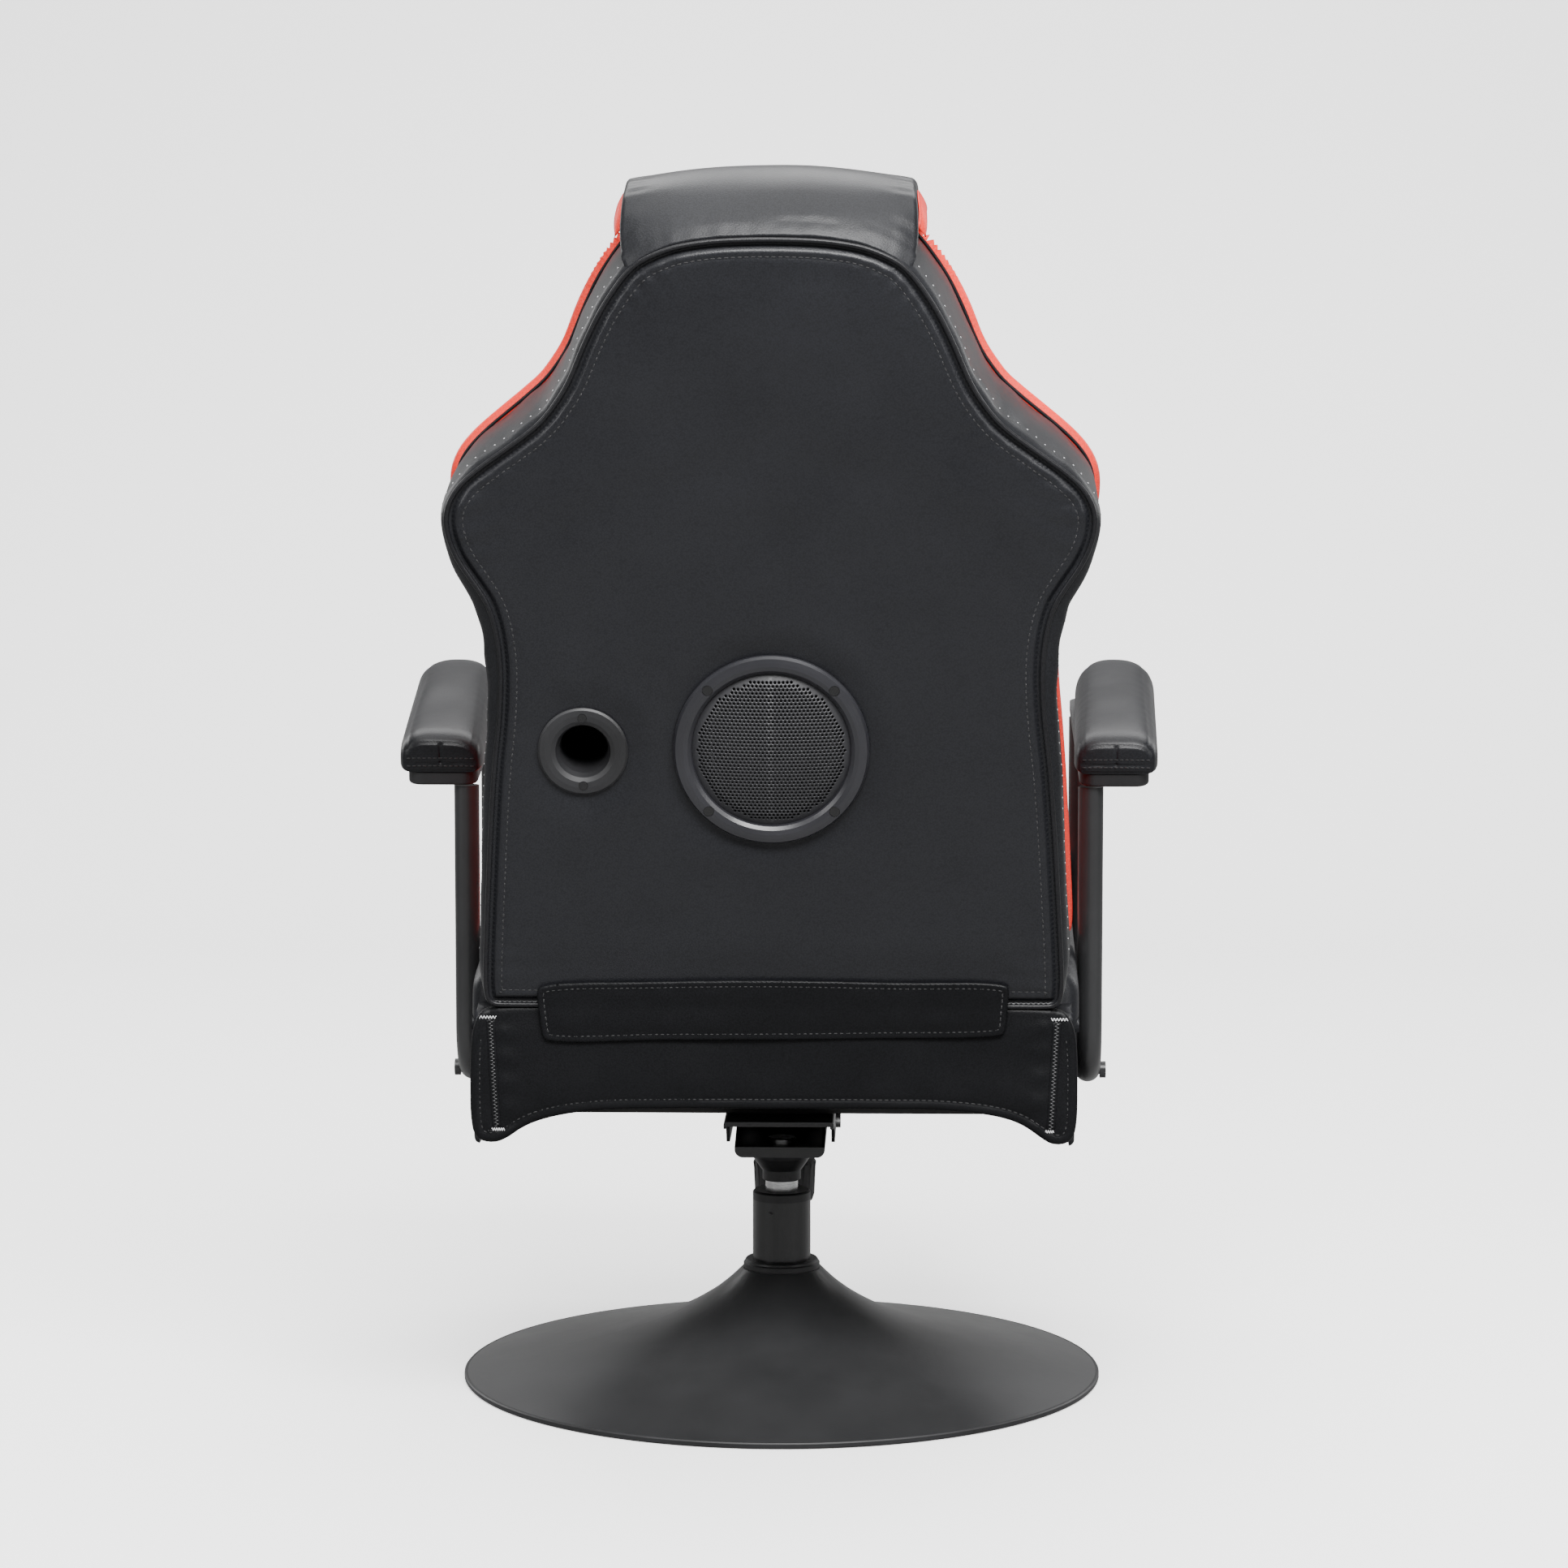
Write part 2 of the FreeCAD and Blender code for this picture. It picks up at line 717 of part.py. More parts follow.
b = body("tilt_pivot_pin")
s = sketch(b, "YZ_Plane", -(D("bracket_half") + 4))
circle(s, D("pin_y"), D("pin_z"), D("pin_rad") + 3)
pad(b, s, 4, "head")
s = sketch(b, "YZ_Plane", -D("bracket_half"), "shank")
circle(s, D("pin_y"), D("pin_z"), D("pin_rad"))
pad(b, s, D("bracket_half") * 2, "shank_pad")
s = sketch(b, "YZ_Plane", D("bracket_half"), "clip")
circle(s, D("pin_y"), D("pin_z"), D("pin_rad") + 3)
pad(b, s, 3, "clip_pad")

board_top = D("board_bottom") + D("board_thick")
studs(
    "mount_bolts",
    "XY_Plane",
    mount_spots,
    [
        (top - thick - 4.5, 4.5, 6),
        (top - thick, board_top - top + thick + 4, 3.4),
    ],
)

# ---------------------------------------------------------------- seat
inner_half = D("seat_half") - 6
b = body("seat_base_board")
s = sketch(b, "XY_Plane", D("board_bottom"))
rect(s, -inner_half, D("seat_front") + 24, inner_half, D("board_rear"))
p = pad(b, s, D("board_thick"))
dress(b, "Fillet", p, 28, lambda e: abs(e.tangentAt(e.FirstParameter).z) > 0.9)
s = sketch(b, "XY_Plane", D("board_bottom") - 1, "bolt_holes")
for x, y in mount_spots:
    circle(s, x, y, 3.5)
circle(s, 0, D("tension_y"), 9)
pocket(b, s, 40, "bolt_cut", reverse=True)

rail_top = board_top + D("rail_height")
rail_rear = D("seat_rear") - D("apron_thick") - 1
rail_front = D("seat_front") + 30
arm_spots = [(60, D("arm_low")), (-100, D("arm_low"))]
b = body("seat_side_rails")
s = sketch(b, "XY_Plane", board_top)
x_out, x_in = inner_half, inner_half - D("rail_thick")
rect(s, x_in, rail_front + 30, x_out, rail_rear)
rect(s, -x_out, rail_front + 30, -x_in, rail_rear)
pad(b, s, D("rail_height"))
s = sketch(b, "YZ_Plane", -(D("seat_half") + 10), "bolt_holes")
for y, z in arm_spots:
    circle(s, y, z, 4)
pocket(b, s, 600, "bolt_cut", reverse=True)

b = body("seat_cross_rails")
s = sketch(b, "XY_Plane", board_top)
x_out = inner_half - 30
rect(s, -x_out, rail_front - 4, x_out, rail_front - 4 + D("rail_thick"))
pad(b, s, D("rail_height"))
s = sketch(b, "XY_Plane", board_top + 22, "rear_rail")
rect(s, -x_in, rail_rear - D("rail_thick"), x_in, rail_rear)
pad(b, s, D("rail_height") - 22, "rear_rail_pad")

core_half = inner_half - D("rail_thick") - 1
side_profile(
    "seat_foam_core",
    [
        (rail_front + 18, board_top + 8),
        (rail_rear - D("rail_thick") - 8, board_top + 22),
        (rail_rear - D("rail_thick") - 8, rail_top - 2),
        (rail_front + 18, rail_top + 8),
    ],
    -core_half,
    core_half,
)

# side view of the padded top: rear end under the backrest, falling front roll
rear_top = D("seat_top_rear")
front_top = D("seat_top_front")
cushion_floor = rail_top + 12
cushion_rear = rail_rear - D("rail_thick") - 10
center_half = wrap(138)
b = side_profile(
    "seat_center_cushion",
    [
        (cushion_rear, cushion_floor),
        (cushion_rear, rear_top - 25),
        (99, rear_top - 3),
        (-40, rear_top + 12),
        (-220, front_top - 8),
        (D("seat_front") + 48, front_top - 2),
        (D("seat_front") + 18, front_top - 16),
        (D("seat_front") + 4, front_top - 44),
        (D("seat_front") + 4, cushion_floor - 30),
        (D("seat_front") + 22, cushion_floor - 30),
        (D("seat_front") + 22, cushion_floor),
    ],
    -center_half,
    center_half,
)
for side, sign in (("left", 1), ("right", -1)):
    x0, x1 = (center_half + 0.5, D("seat_half")) if sign > 0 else (-D("seat_half"), -(center_half + 0.5))
    side_profile(
        "seat_bolster_" + side,
        [
            (cushion_rear, cushion_floor),
            (cushion_rear, rear_top - 25),
            (99, rear_top - 1),
            (-40, rear_top + 28),
            (-220, front_top + 12),
            (D("seat_front") + 48, front_top + 10),
            (D("seat_front") + 14, front_top - 8),
            (D("seat_front"), front_top - 40),
            (D("seat_front"), cushion_floor - 30),
            (D("seat_front") + 22, cushion_floor - 30),
            (D("seat_front") + 22, cushion_floor),
        ],
        x0,
        x1,
    )
# padded skirt round the timber: front and sides, one piece a side
b = body("seat_skirt_front")
s = sketch(b, "XY_Plane", D("board_bottom") + 4)
rect(s, -D("seat_half"), D("seat_front"), D("seat_half"), D("seat_front") + 21)
p = pad(b, s, cushion_floor - 31 - D("board_bottom") - 4)
dress(b, "Fillet", p, 14, lambda e: abs(e.tangentAt(e.FirstParameter).z) > 0.9 and e.BoundBox.YMax < -335)
for side, sign in (("left", 1), ("right", -1)):
    b = body("seat_skirt_" + side)
    s = sketch(b, "XY_Plane", D("board_bottom") + 4)
    a, c = (inner_half + 0.5, D("seat_half")) if sign > 0 else (-D("seat_half"), -(inner_half + 0.5))
    rect(s, a, D("seat_front") + 22, c, D("seat_rear") - D("apron_thick") - 1)
    pad(b, s, cushion_floor - 1 - D("board_bottom") - 4)
    s = sketch(b, "YZ_Plane", -(D("seat_half") + 10), "bolt_holes")
    for y, z in arm_spots:
        circle(s, y, z, 4.2)
    pocket(b, s, 600, "bolt_cut", reverse=True)

b = body("seat_rear_apron")
s = sketch(b, "XZ_Plane", -D("seat_rear"))
poly(
    s,
    [
        (-D("seat_half"), 262), (-241, 249), (-222, 246), (-212, 254), (-192, 263), (-166, 270),
        (-130, 274), (130, 273), (172, 268), (195, 261), (215, 252), (224, 246), (242, 249),
        (D("seat_half"), 262), (D("seat_half"), 330), (238, 352), (228, 356), (-228, 356), (-238, 352),
        (-D("seat_half"), 330),
    ],
)
pad(b, s, D("apron_thick"))

side_profile(
    "seat_back_flap",
    [
        (D("seat_rear") + 1, 330), (D("seat_rear") + 3.6, 330), (D("seat_rear") + 4.4, 358),
        (D("seat_rear") + 9.4, 380), (D("seat_rear") + 6.8, 380.5), (D("seat_rear") + 1.8, 358.5),
    ],
    -D("flap_half"),
    D("flap_half"),
)
b = body("seat_zippers")
s = sketch(b, "XZ_Plane", -(D("seat_rear") + 2.4))
for k in (1, -1):
    xs = [(237, 350), (231, 350), (224, 262), (230, 262)]
    poly(s, [(x * k, z) for x, z in xs])
pad(b, s, 2.2)

# ---------------------------------------------------------------- backrest
# half outline of the rear panel: across, height along the back
HALF = [
    (12, 622.4), (62, 619.4), (95, 608), (118, 586), (138, 549), (156, 508), (178, 478),
    (214, 451), (246, 426), (258, 407), (252, 384), (229, 343), (215, 303), (213, 260),
    (219, 205), (227, 100), (232.5, 22), (232, 3), (226, -4),
]


def half_outline(off):
    """The half outline moved outward along its own normals."""
    off = wrap(off)
    out = []
    for i, (x, z) in enumerate(HALF):
        xa, za = HALF[max(i - 1, 0)]
        xb, zb = HALF[min(i + 1, len(HALF) - 1)]
        dx, dz = xb - xa, zb - za
        n = math.hypot(dx, dz)
        nx, nz = (-dz / n, dx / n)
        if i == 0:
            nx, nz = 0.0, 1.0
        if i == len(HALF) - 1:
            nx, nz = 0.0, -1.0
        out.append((off * round(nx, 4) + x, off * round(nz, 4) + z))
    return out


def outline(s, off=0):
    right = half_outline(off)
    left = [(-wrap(x), z) for x, z in reversed(right)]
    chain(s, [right, [right[-1], left[0]], left, [left[-1], right[0]]])


def back_layer(name, near, far, off):
    b = body(name)
    s = sketch(b, "XZ_Plane", near)
    outline(s, off)
    pad(b, s, wrap(far) - wrap(near))
    return b


def back_hole(b, shapes, near, depth, name):
    s = sketch(b, "XZ_Plane", near, name)
    for x, z, r in shapes:
        circle(s, x, z, r)
    return pocket(b, s, depth, name + "_cut", reverse=True)


ws, px, ps = D("woofer_s"), D("port_x"), D("port_s")
pt = D("panel_thick")
bd0 = pt + 0.5
bd1 = bd0 + D("board_back")
q = D("woofer_screw_pcd") * round(math.sqrt(0.5), 5)
woofer_spots = [(q, ws + q), (-q, ws + q), (-q, ws - q), (q, ws - q)]
port_spots = [(px, ps + D("port_screw_pcd")), (px, ps - D("port_screw_pcd"))]

b = back_layer("back_rear_panel", 0, pt, 0)
back_hole(b, [(0, ws, 68), (px, ps, 24.5)], -1, 20, "cutouts")
back_hole(b, [(x, z, 2.1) for x, z in woofer_spots + port_spots], -1, 20, "screw_holes")
lean(b)

b = back_layer("back_board", bd0, bd1, -8)
back_hole(b, [(0, ws, 62.5), (px, ps, 24.5)], bd0 - 1, 30, "cutouts")
back_hole(b, [(x, z, 1.9) for x, z in woofer_spots + port_spots], bd0 - 1, 30, "screw_holes")
lean(b)

b = back_layer("back_foam_core", 25, D("core_front"), D("gusset_out"))
s = sketch(b, "XZ_Plane", 24, "speaker_room")
rect(s, -108, 109, 198, 318)
pocket(b, s, 85, "speaker_room_cut", reverse=True)
s = sketch(b, "YZ_Plane", -290, "strap_room")
poly(s, [(-24, 13), (-26.5, 10), (-34.2, -7), (-130, -7), (-130, -40), (-24, -40)])
pocket(b, s, 580, "strap_room_cut", reverse=True)
lean(b)

b = body("back_brackets")
s = sketch(b, "YZ_Plane", -196)
fy = rail_rear - D("rail_thick")
strap = [
    (fy - 5, board_top + 24), (fy, board_top + 24), (fy, 350), (227.4, 374), (246.8, 465.5),
    (241.9, 466.5), (222.6, 375.2), (fy - 5, 351.5),
]
poly(s, strap)
pad(b, s, 40)
s = sketch(b, "YZ_Plane", 156, "second")
poly(s, strap)
pad(b, s, 40, "second_pad")

b = body("back_center_cushion")
s = sketch(b, "YZ_Plane", -126)
cf = D("core_front") + 0.5
poly(
    s,
    [
        (-cf, 6), (-cf, 468), (-D("cushion_front") + 8, 468), (-D("cushion_front"), 440),
        (-D("cushion_front") - 1, 300), (-D("cushion_front") - 8, 170), (-D("cushion_front") - 3, 60),
        (-D("cushion_front") + 6, 6),
    ],
)
pad(b, s, 252)
lean(b)

for side, k in (("left", 1), ("right", -1)):
    b = body("back_bolster_" + side)
    s = sketch(b, "XZ_Plane", cf)
    edge = half_outline(D("gusset_out") + 4)[4:-2]
    pts = [(wrap(127), wrap(6)), (wrap(127), wrap(469)), (wrap(117), wrap(471))]
    pts += edge + [(wrap(232), wrap(6))]
    pts = [(x * k, z) for x, z in pts]
    poly(s, pts)
    p = pad(b, s, D("bolster_front") - cf)
    lean(b)

b = body("headrest_pad")
s = sketch(b, "XZ_Plane", 25)
poly(
    s,
    [
        (-116, 472), (116, 472), (116.5, 632), (112, 648), (99, 659), (70, 664),
        (-70, 664), (-99, 659), (-112, 648), (-116.5, 632),
    ],
)
p = pad(b, s, 127)
s = sketch(b, "XZ_Plane", 24, "core_room")
outline(s, D("gusset_out") + 0.5)
pocket(b, s, D("core_front") + 0.5 - 24, "core_room_cut", reverse=True)
s = sketch(b, "YZ_Plane", -130, "rear_slope")
poly(s, [(-20, 630), (-20, 700), (-78, 700), (-78, 664.2), (-52, 657.5), (-34, 648)])
pocket(b, s, 260, "rear_slope_cut", reverse=True)
s = sketch(b, "YZ_Plane", -130, "front_slope")
poly(s, [(-160, 585), (-160, 700), (-100, 700), (-100, 664.2), (-128, 657), (-146, 633)])
pocket(b, s, 260, "front_slope_cut", reverse=True)
lean(b)

# ---------------------------------------------------------------- woofer, enclosure and port
lean_rad = math.radians(VALUES["back_lean"])


def lean_at(b, x, along):
    x, along = wrap(x), wrap(along)
    b.Placement = Placement(
        Vector(
            x.num,
            VALUES["back_y"] + along.num * math.sin(lean_rad),
            VALUES["back_z"] + along.num * math.cos(lean_rad),
        ),
        Rotation(Vector(-1, 0, 0), VALUES["back_lean"]),
    )
    bind(b, "Placement.Base.x", x)
    b.setExpression("Placement.Base.y", "dims.back_y + %s * sin(dims.back_lean * 1 deg)" % along.exp)
    b.setExpression("Placement.Base.z", "dims.back_z + %s * cos(dims.back_lean * 1 deg)" % along.exp)


def turned(name, pieces):
    """A round piece turned about the depth axis of the rear panel."""
    b = body(name)
    s = sketch(b, "YZ_Plane")
    if isinstance(pieces[0], tuple):
        poly(s, pieces)
    else:
        chain(s, pieces)
    r = b.newObject("PartDesign::Revolution", name + "_revolution")
    r.Profile = s
    r.ReferenceAxis = (s, ["H_Axis"])
    r.Angle = 360
    fresh(s, r)
    return b


rr, ri, rt = D("ring_rad"), D("ring_inner"), D("ring_thick")
b = turned(
    "woofer_ring",
    [
        (0.4, rr - 0.5), (1, rr), (rt - 3.5, rr), (rt - 0.8, rr - 1.8), (rt, rr - 5), (rt + 0.4, rr - 8),
        (rt - 0.6, rr - 11.5), (rt - 3, ri + 0.8), (2.6, ri), (2.6, ri + 4), (0.4, ri + 4),
    ],
)
off = [(x, z - ws) for x, z in woofer_spots]
back_hole(b, [(x, z, 2.1) for x, z in off], -12, 30, "screw_holes")
back_hole(b, [(x, z, 4.3) for x, z in off], -12, 12 - rt + 2.4, "counterbores")
lean_at(b, 0, ws)

b = turned(
    "woofer_grille",
    [
        (0.6, ri + 3.6), (2.2, ri + 3.6), (2.3, ri - 0.6), (6.8, 54), (9.6, 38), (11.4, 20), (12, 0),
        (10.8, 0), (10.2, 20), (8.4, 38), (5.8, 53), (1.6, 61), (0.6, 62),
    ],
)
lean_at(b, 0, ws)

b = turned(
    "woofer_basket",
    [
        (-2.6, 58.5), (-2.6, 67), (-6.3, 67), (-6.3, 61.8), (-20, 59), (-48, 44), (-50, 40.5),
        (-68, 40.5), (-70, 38.5), (-70, 6), (-66, 6), (-66, 13.6), (-49, 13.6), (-49, 36), (-46, 40),
        (-20, 56.5), (-8, 58.5),
    ],
)
lean_at(b, 0, ws)

b = turned(
    "woofer_cone",
    [
        (-7, 57.6), (-5.2, 57.6), (-3.4, 55), (-3.2, 52), (-5, 49.2), (-8.4, 47.8), (-27, 18.5),
        (-23.5, 12), (-21.6, 6), (-21, 0), (-22.4, 0), (-23, 6), (-25, 11.9), (-31, 12.6), (-54, 12.6),
        (-54, 13.2), (-32, 13.2), (-30.5, 18), (-10.4, 49), (-6.6, 50.6), (-5, 52.6), (-5.2, 54.4),
    ],
)
lean_at(b, 0, ws)

b = body("speaker_screws")
s = sketch(b, "XZ_Plane", -(rt - 0.4))
for x, z in woofer_spots:
    circle(s, x, z, 4)
pad(b, s, 2, "head")
s = sketch(b, "XZ_Plane", -(rt - 2.4), "shank")
for x, z in woofer_spots:
    circle(s, x, z, 1.9)
pad(b, s, rt - 2.4 + bd1 - 1, "shank_pad")
s = sketch(b, "XZ_Plane", -4.6, "port_head")
for x, z in port_spots:
    circle(s, x, z, 3.4)
pad(b, s, 1.6, "port_head_pad")
s = sketch(b, "XZ_Plane", -3, "port_shank")
for x, z in port_spots:
    circle(s, x, z, 1.9)
pad(b, s, bd1 + 2, "port_shank_pad")
lean(b)

b = body("speaker_enclosure")
s = sketch(b, "XZ_Plane", bd1 + 0.3)
rect(s, -105, 112, 195, 315)
p = pad(b, s, 104 - bd1)
s = sketch(b, "XZ_Plane", bd1 - 1, "inside")
rect(s, -96, 121, 186, 306)
pocket(b, s, 96.5 - bd1, "inside_cut", reverse=True)
lean(b)

pf, pb = D("port_flange"), D("port_bore")
b = turned(
    "bass_port",
    [
        (0.4, pf), (2.6, pf), (4, pf - 1.6), (4.4, pf - 6), (4, pb + 6.5), (2, pb + 3), (-4, pb + 0.8),
        (-12, pb), (-D("port_length"), pb), (-D("port_length"), pb + 2.4), (0.4, pb + 2.4 + 2.4),
    ],
)
for n, k in enumerate((1, -1)):
    back_hole(b, [(0, D("port_screw_pcd") * k, 2.1)], -8, 12, "screw_hole%d" % n)
    back_hole(b, [(0, D("port_screw_pcd") * k, 3.6)], -8, 5, "counterbore%d" % n)
lean_at(b, px, ps)

# ---------------------------------------------------------------- armrests
slope = math.radians(VALUES["pad_slope"])


def arm_frame(b, x):
    place(b, x, D("pad_y"), D("pad_z"), (-1, 0, 0), D("pad_slope"))


def bent(s, verts, radius):
    """Lines joined by tangent arcs; the corners are held by construction lines."""
    radius = wrap(radius)
    verts = [(wrap(a), wrap(c)) for a, c in verts]
    n = len(verts)
    pts = [Vector(a.num, c.num, 0) for a, c in verts]
    g0 = s.GeometryCount
    s.addGeometry([Part.LineSegment(pts[i], pts[i + 1]) for i in range(n - 1)], True)
    s.addConstraint([Sketcher.Constraint("Coincident", g0 + i, 2, g0 + i + 1, 1) for i in range(n - 2)])
    locate(s, [(g0 + i, 1, *verts[i]) for i in range(n - 1)] + [(g0 + n - 2, 2, *verts[-1])])
    cuts, arcs = [pts[0]], []
    for i in range(1, n - 1):
        u = (pts[i - 1] - pts[i]).normalize()
        w = (pts[i + 1] - pts[i]).normalize()
        half = math.acos(u.dot(w)) / 2
        reach = radius.num / math.tan(half)
        a, c = pts[i] + u * reach, pts[i] + w * reach
        mid = pts[i] + (u + w).normalize() * (radius.num / math.sin(half))
        t0, t1 = [math.atan2(q.y - mid.y, q.x - mid.x) for q in (a, c)]
        forward = (t1 - t0) % (2 * math.pi) < math.pi
        ring = Part.Circle(mid, Vector(0, 0, 1), radius.num)
        arcs.append((Part.ArcOfCircle(ring, *((t0, t1) if forward else (t1, t0))), forward))
        cuts += [a, c]
    cuts.append(pts[-1])
    ids = []
    for i in range(n - 1):
        ids.append(("line", s.addGeometry(Part.LineSegment(cuts[2 * i], cuts[2 * i + 1]), False), i))
        if i < n - 2:
            ids.append(("arc", s.addGeometry(arcs[i][0], False), i))
    for kind, g, i in ids:
        if kind != "arc":
            continue
        before, after = [a for a in ids if a[0] == "line" and a[2] == i][0][1], [a for a in ids if a[0] == "line" and a[2] == i + 1][0][1]
        p0, p1 = (1, 2) if arcs[i][1] else (2, 1)
        s.addConstraint([
            Sketcher.Constraint("Tangent", before, 2, g, p0),
            Sketcher.Constraint("Tangent", after, 1, g, p1),
        ])
        k = s.addConstraint(Sketcher.Constraint("Radius", g, radius.num))
        s.setExpression("Constraints[%d]" % k, radius.exp)
    lines = [a for a in ids if a[0] == "line"]
    s.addConstraint([
        Sketcher.Constraint("Coincident", lines[0][1], 1, g0, 1),
        Sketcher.Constraint("Coincident", lines[-1][1], 2, g0 + n - 2, 2),
    ])
    for kind, g, i in lines:
        s.addConstraint(Sketcher.Constraint("Parallel", g, g0 + i))
        if 0 < i < n - 2:
            s.addConstraint(Sketcher.Constraint("PointOnObject", g, 1, g0 + i))


for side, k in (("left", 1), ("right", -1)):
    b = body("arm_tube_" + side)
    path = sketch(b, "YZ_Plane", D("arm_x") * k, "path")
    bent(
        path,
        [
            (D("arm_rear_y"), D("pad_z") - 0.5),
            (D("arm_rear_y"), D("arm_low")),
            (D("arm_front_y"), D("arm_low")),
            (D("arm_front_y"), 558.5),
        ],
        D("arm_bend"),
    )
    s = sketch(b, "XY_Plane", D("pad_z") - 0.5, "section")
    circle(s, D("arm_x") * k, D("arm_rear_y"), D("arm_tube_rad"))
    tube = b.newObject("PartDesign::AdditivePipe", b.Name + "_pipe")
    tube.Profile = s
    tube.Spine = (path, [])
    fresh(path, s, tube)
    s = sketch(b, "YZ_Plane", D("arm_x") * k - 20, "bolt_holes")
    for y, z in arm_spots:
        circle(s, y, z, 4)
    pocket(b, s, 40, "bolt_cut", reverse=True)

    b = body("arm_plate_" + side)
    s = sketch(b, "XY_Plane")
    rect(s, -D("plate_half"), -D("pad_length") + 6, D("plate_half"), -3)
    p = pad(b, s, D("plate_thick"))
    p = dress(b, "Fillet", p, 12, lambda e: abs(e.tangentAt(e.FirstParameter).z) > 0.9)
    dress(b, "Fillet", p, 3, lambda e: e.BoundBox.ZMax < 0.01, "edge_low")
    arm_frame(b, (D("pad_x") - 1) * k)

    b = body("arm_pad_" + side)
    s = sketch(b, "XY_Plane", D("plate_thick"))
    rect(s, -D("pad_half"), -D("pad_length"), D("pad_half"), 0)
    p = pad(b, s, D("pad_thick"))
    p = dress(b, "Fillet", p, 9, lambda e: abs(e.tangentAt(e.FirstParameter).z) > 0.9)
    dress(b, "Fillet", p, 7, lambda e: e.BoundBox.ZMin > VALUES["plate_thick"] + VALUES["pad_thick"] - 0.1, "edge_top")
    arm_frame(b, D("pad_x") * k)

b = body("arm_bolts")
for k in (1, -1):
    out = D("arm_x") + D("arm_tube_rad")
    s = sketch(b, "YZ_Plane", out if k > 0 else -out - 5, "head%d" % (k + 1))
    for y, z in arm_spots:
        circle(s, y, z, 7)
    pad(b, s, 5, "head_pad%d" % (k + 1))
    s = sketch(b, "YZ_Plane", inner_half - D("rail_thick") if k > 0 else -out, "shank%d" % (k + 1))
    for y, z in arm_spots:
        circle(s, y, z, 3.9)
    pad(b, s, out - inner_half + D("rail_thick"), "shank_pad%d" % (k + 1))

# ---------------------------------------------------------------- control panel on the sitter's right
py, pz, ks = D("panel_y"), D("panel_z"), D("knob_small")
face = D("seat_half") + 12
b = body("control_panel")
s = sketch(b, "YZ_Plane", -face)
rect(s, py - 52, pz - 24, py + 52, pz + 22)
p = pad(b, s, 11.6)
p = dress(b, "Fillet", p, 7, lambda e: abs(e.tangentAt(e.FirstParameter).x) > 0.9)
dress(b, "Fillet", p, 2.5, lambda e: e.BoundBox.XMax < -face.num + 0.01, "edge_face")
s = sketch(b, "YZ_Plane", -face - 1, "shaft_holes")
circle(s, py - 32, pz, 3.2)
circle(s, py, pz, 3.2)
circle(s, py + 30, pz + 8, 5.1)
circle(s, py + 22, pz - 12, 3.2)
circle(s, py + 38, pz - 12, 4)
pocket(b, s, 10, "shaft_cut", reverse=True)
for name, y in (("volume_knob", py - 32), ("bass_knob", py)):
    b = body(name)
    s = sketch(b, "XY_Plane")
    circle(s, 0, 0, ks)
    p = pad(b, s, 9)
    dress(b, "Fillet", p, 1.2, lambda e: e.BoundBox.ZMin > 8.9)
    s = sketch(b, "XY_Plane", 10, "mark")
    rect(s, -0.8, 3, 0.8, ks - 1.6)
    pocket(b, s, 1.8, "mark_cut")
    s = sketch(b, "XY_Plane", -7, "shaft")
    circle(s, 0, 0, 3.1)
    pad(b, s, 7, "shaft_pad")
    place(b, -face - 0.6, y, pz, (0, -1, 0), 90)
b = body("power_button")
s = sketch(b, "YZ_Plane", -face - 2.5)
circle(s, py + 30, pz + 8, 5)
p = pad(b, s, 9)
dress(b, "Fillet", p, 0.8, lambda e: e.BoundBox.XMax < -face.num - 2.4)

# ---------------------------------------------------------------- write the files
doc.recompute()
for o in doc.Objects:
    if "Invalid" in o.State or "Error" in o.State:
        raise RuntimeError("%s (%s) is %s" % (o.Name, o.Label, o.State))
for o in NODES:
    shape = o.Shape
    if shape.isNull() or not shape.isValid() or not shape.Solids:
        raise RuntimeError("%s has no valid solid" % o.Label)
if len(NODES) > 60:
    raise RuntimeError("%d nodes" % len(NODES))
for o in NODES:
    o.Shape.exportStep("parts/%s.step" % o.Label)
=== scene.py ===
import bpy
import bmesh
import json
import math
import numpy as np
from mathutils import Vector, Matrix
from mathutils.geometry import delaunay_2d_cdt


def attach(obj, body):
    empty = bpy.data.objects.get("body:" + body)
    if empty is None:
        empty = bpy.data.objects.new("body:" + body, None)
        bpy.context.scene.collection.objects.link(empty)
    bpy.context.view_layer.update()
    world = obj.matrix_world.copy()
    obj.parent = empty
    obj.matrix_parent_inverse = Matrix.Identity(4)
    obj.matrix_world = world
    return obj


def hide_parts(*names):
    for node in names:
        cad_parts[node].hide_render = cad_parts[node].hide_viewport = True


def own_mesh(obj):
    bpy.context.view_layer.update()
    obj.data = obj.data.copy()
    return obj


# Pedestal gaming chair with a rocking seat. Metres in the scene; the shapes below are
# worked out in millimetres and scaled once. The sitter faces -Y and +X is their left.

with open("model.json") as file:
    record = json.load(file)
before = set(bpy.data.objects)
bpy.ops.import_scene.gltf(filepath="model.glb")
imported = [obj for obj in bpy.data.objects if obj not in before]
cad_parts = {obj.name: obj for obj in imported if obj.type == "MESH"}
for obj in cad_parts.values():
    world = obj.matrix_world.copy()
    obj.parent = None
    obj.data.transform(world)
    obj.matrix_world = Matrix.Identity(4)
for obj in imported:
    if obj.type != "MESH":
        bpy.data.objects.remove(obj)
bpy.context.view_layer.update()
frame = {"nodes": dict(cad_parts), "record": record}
MM = 0.001
RNG = np.random.default_rng(7)

# ------------------------------------------------------------------ materials


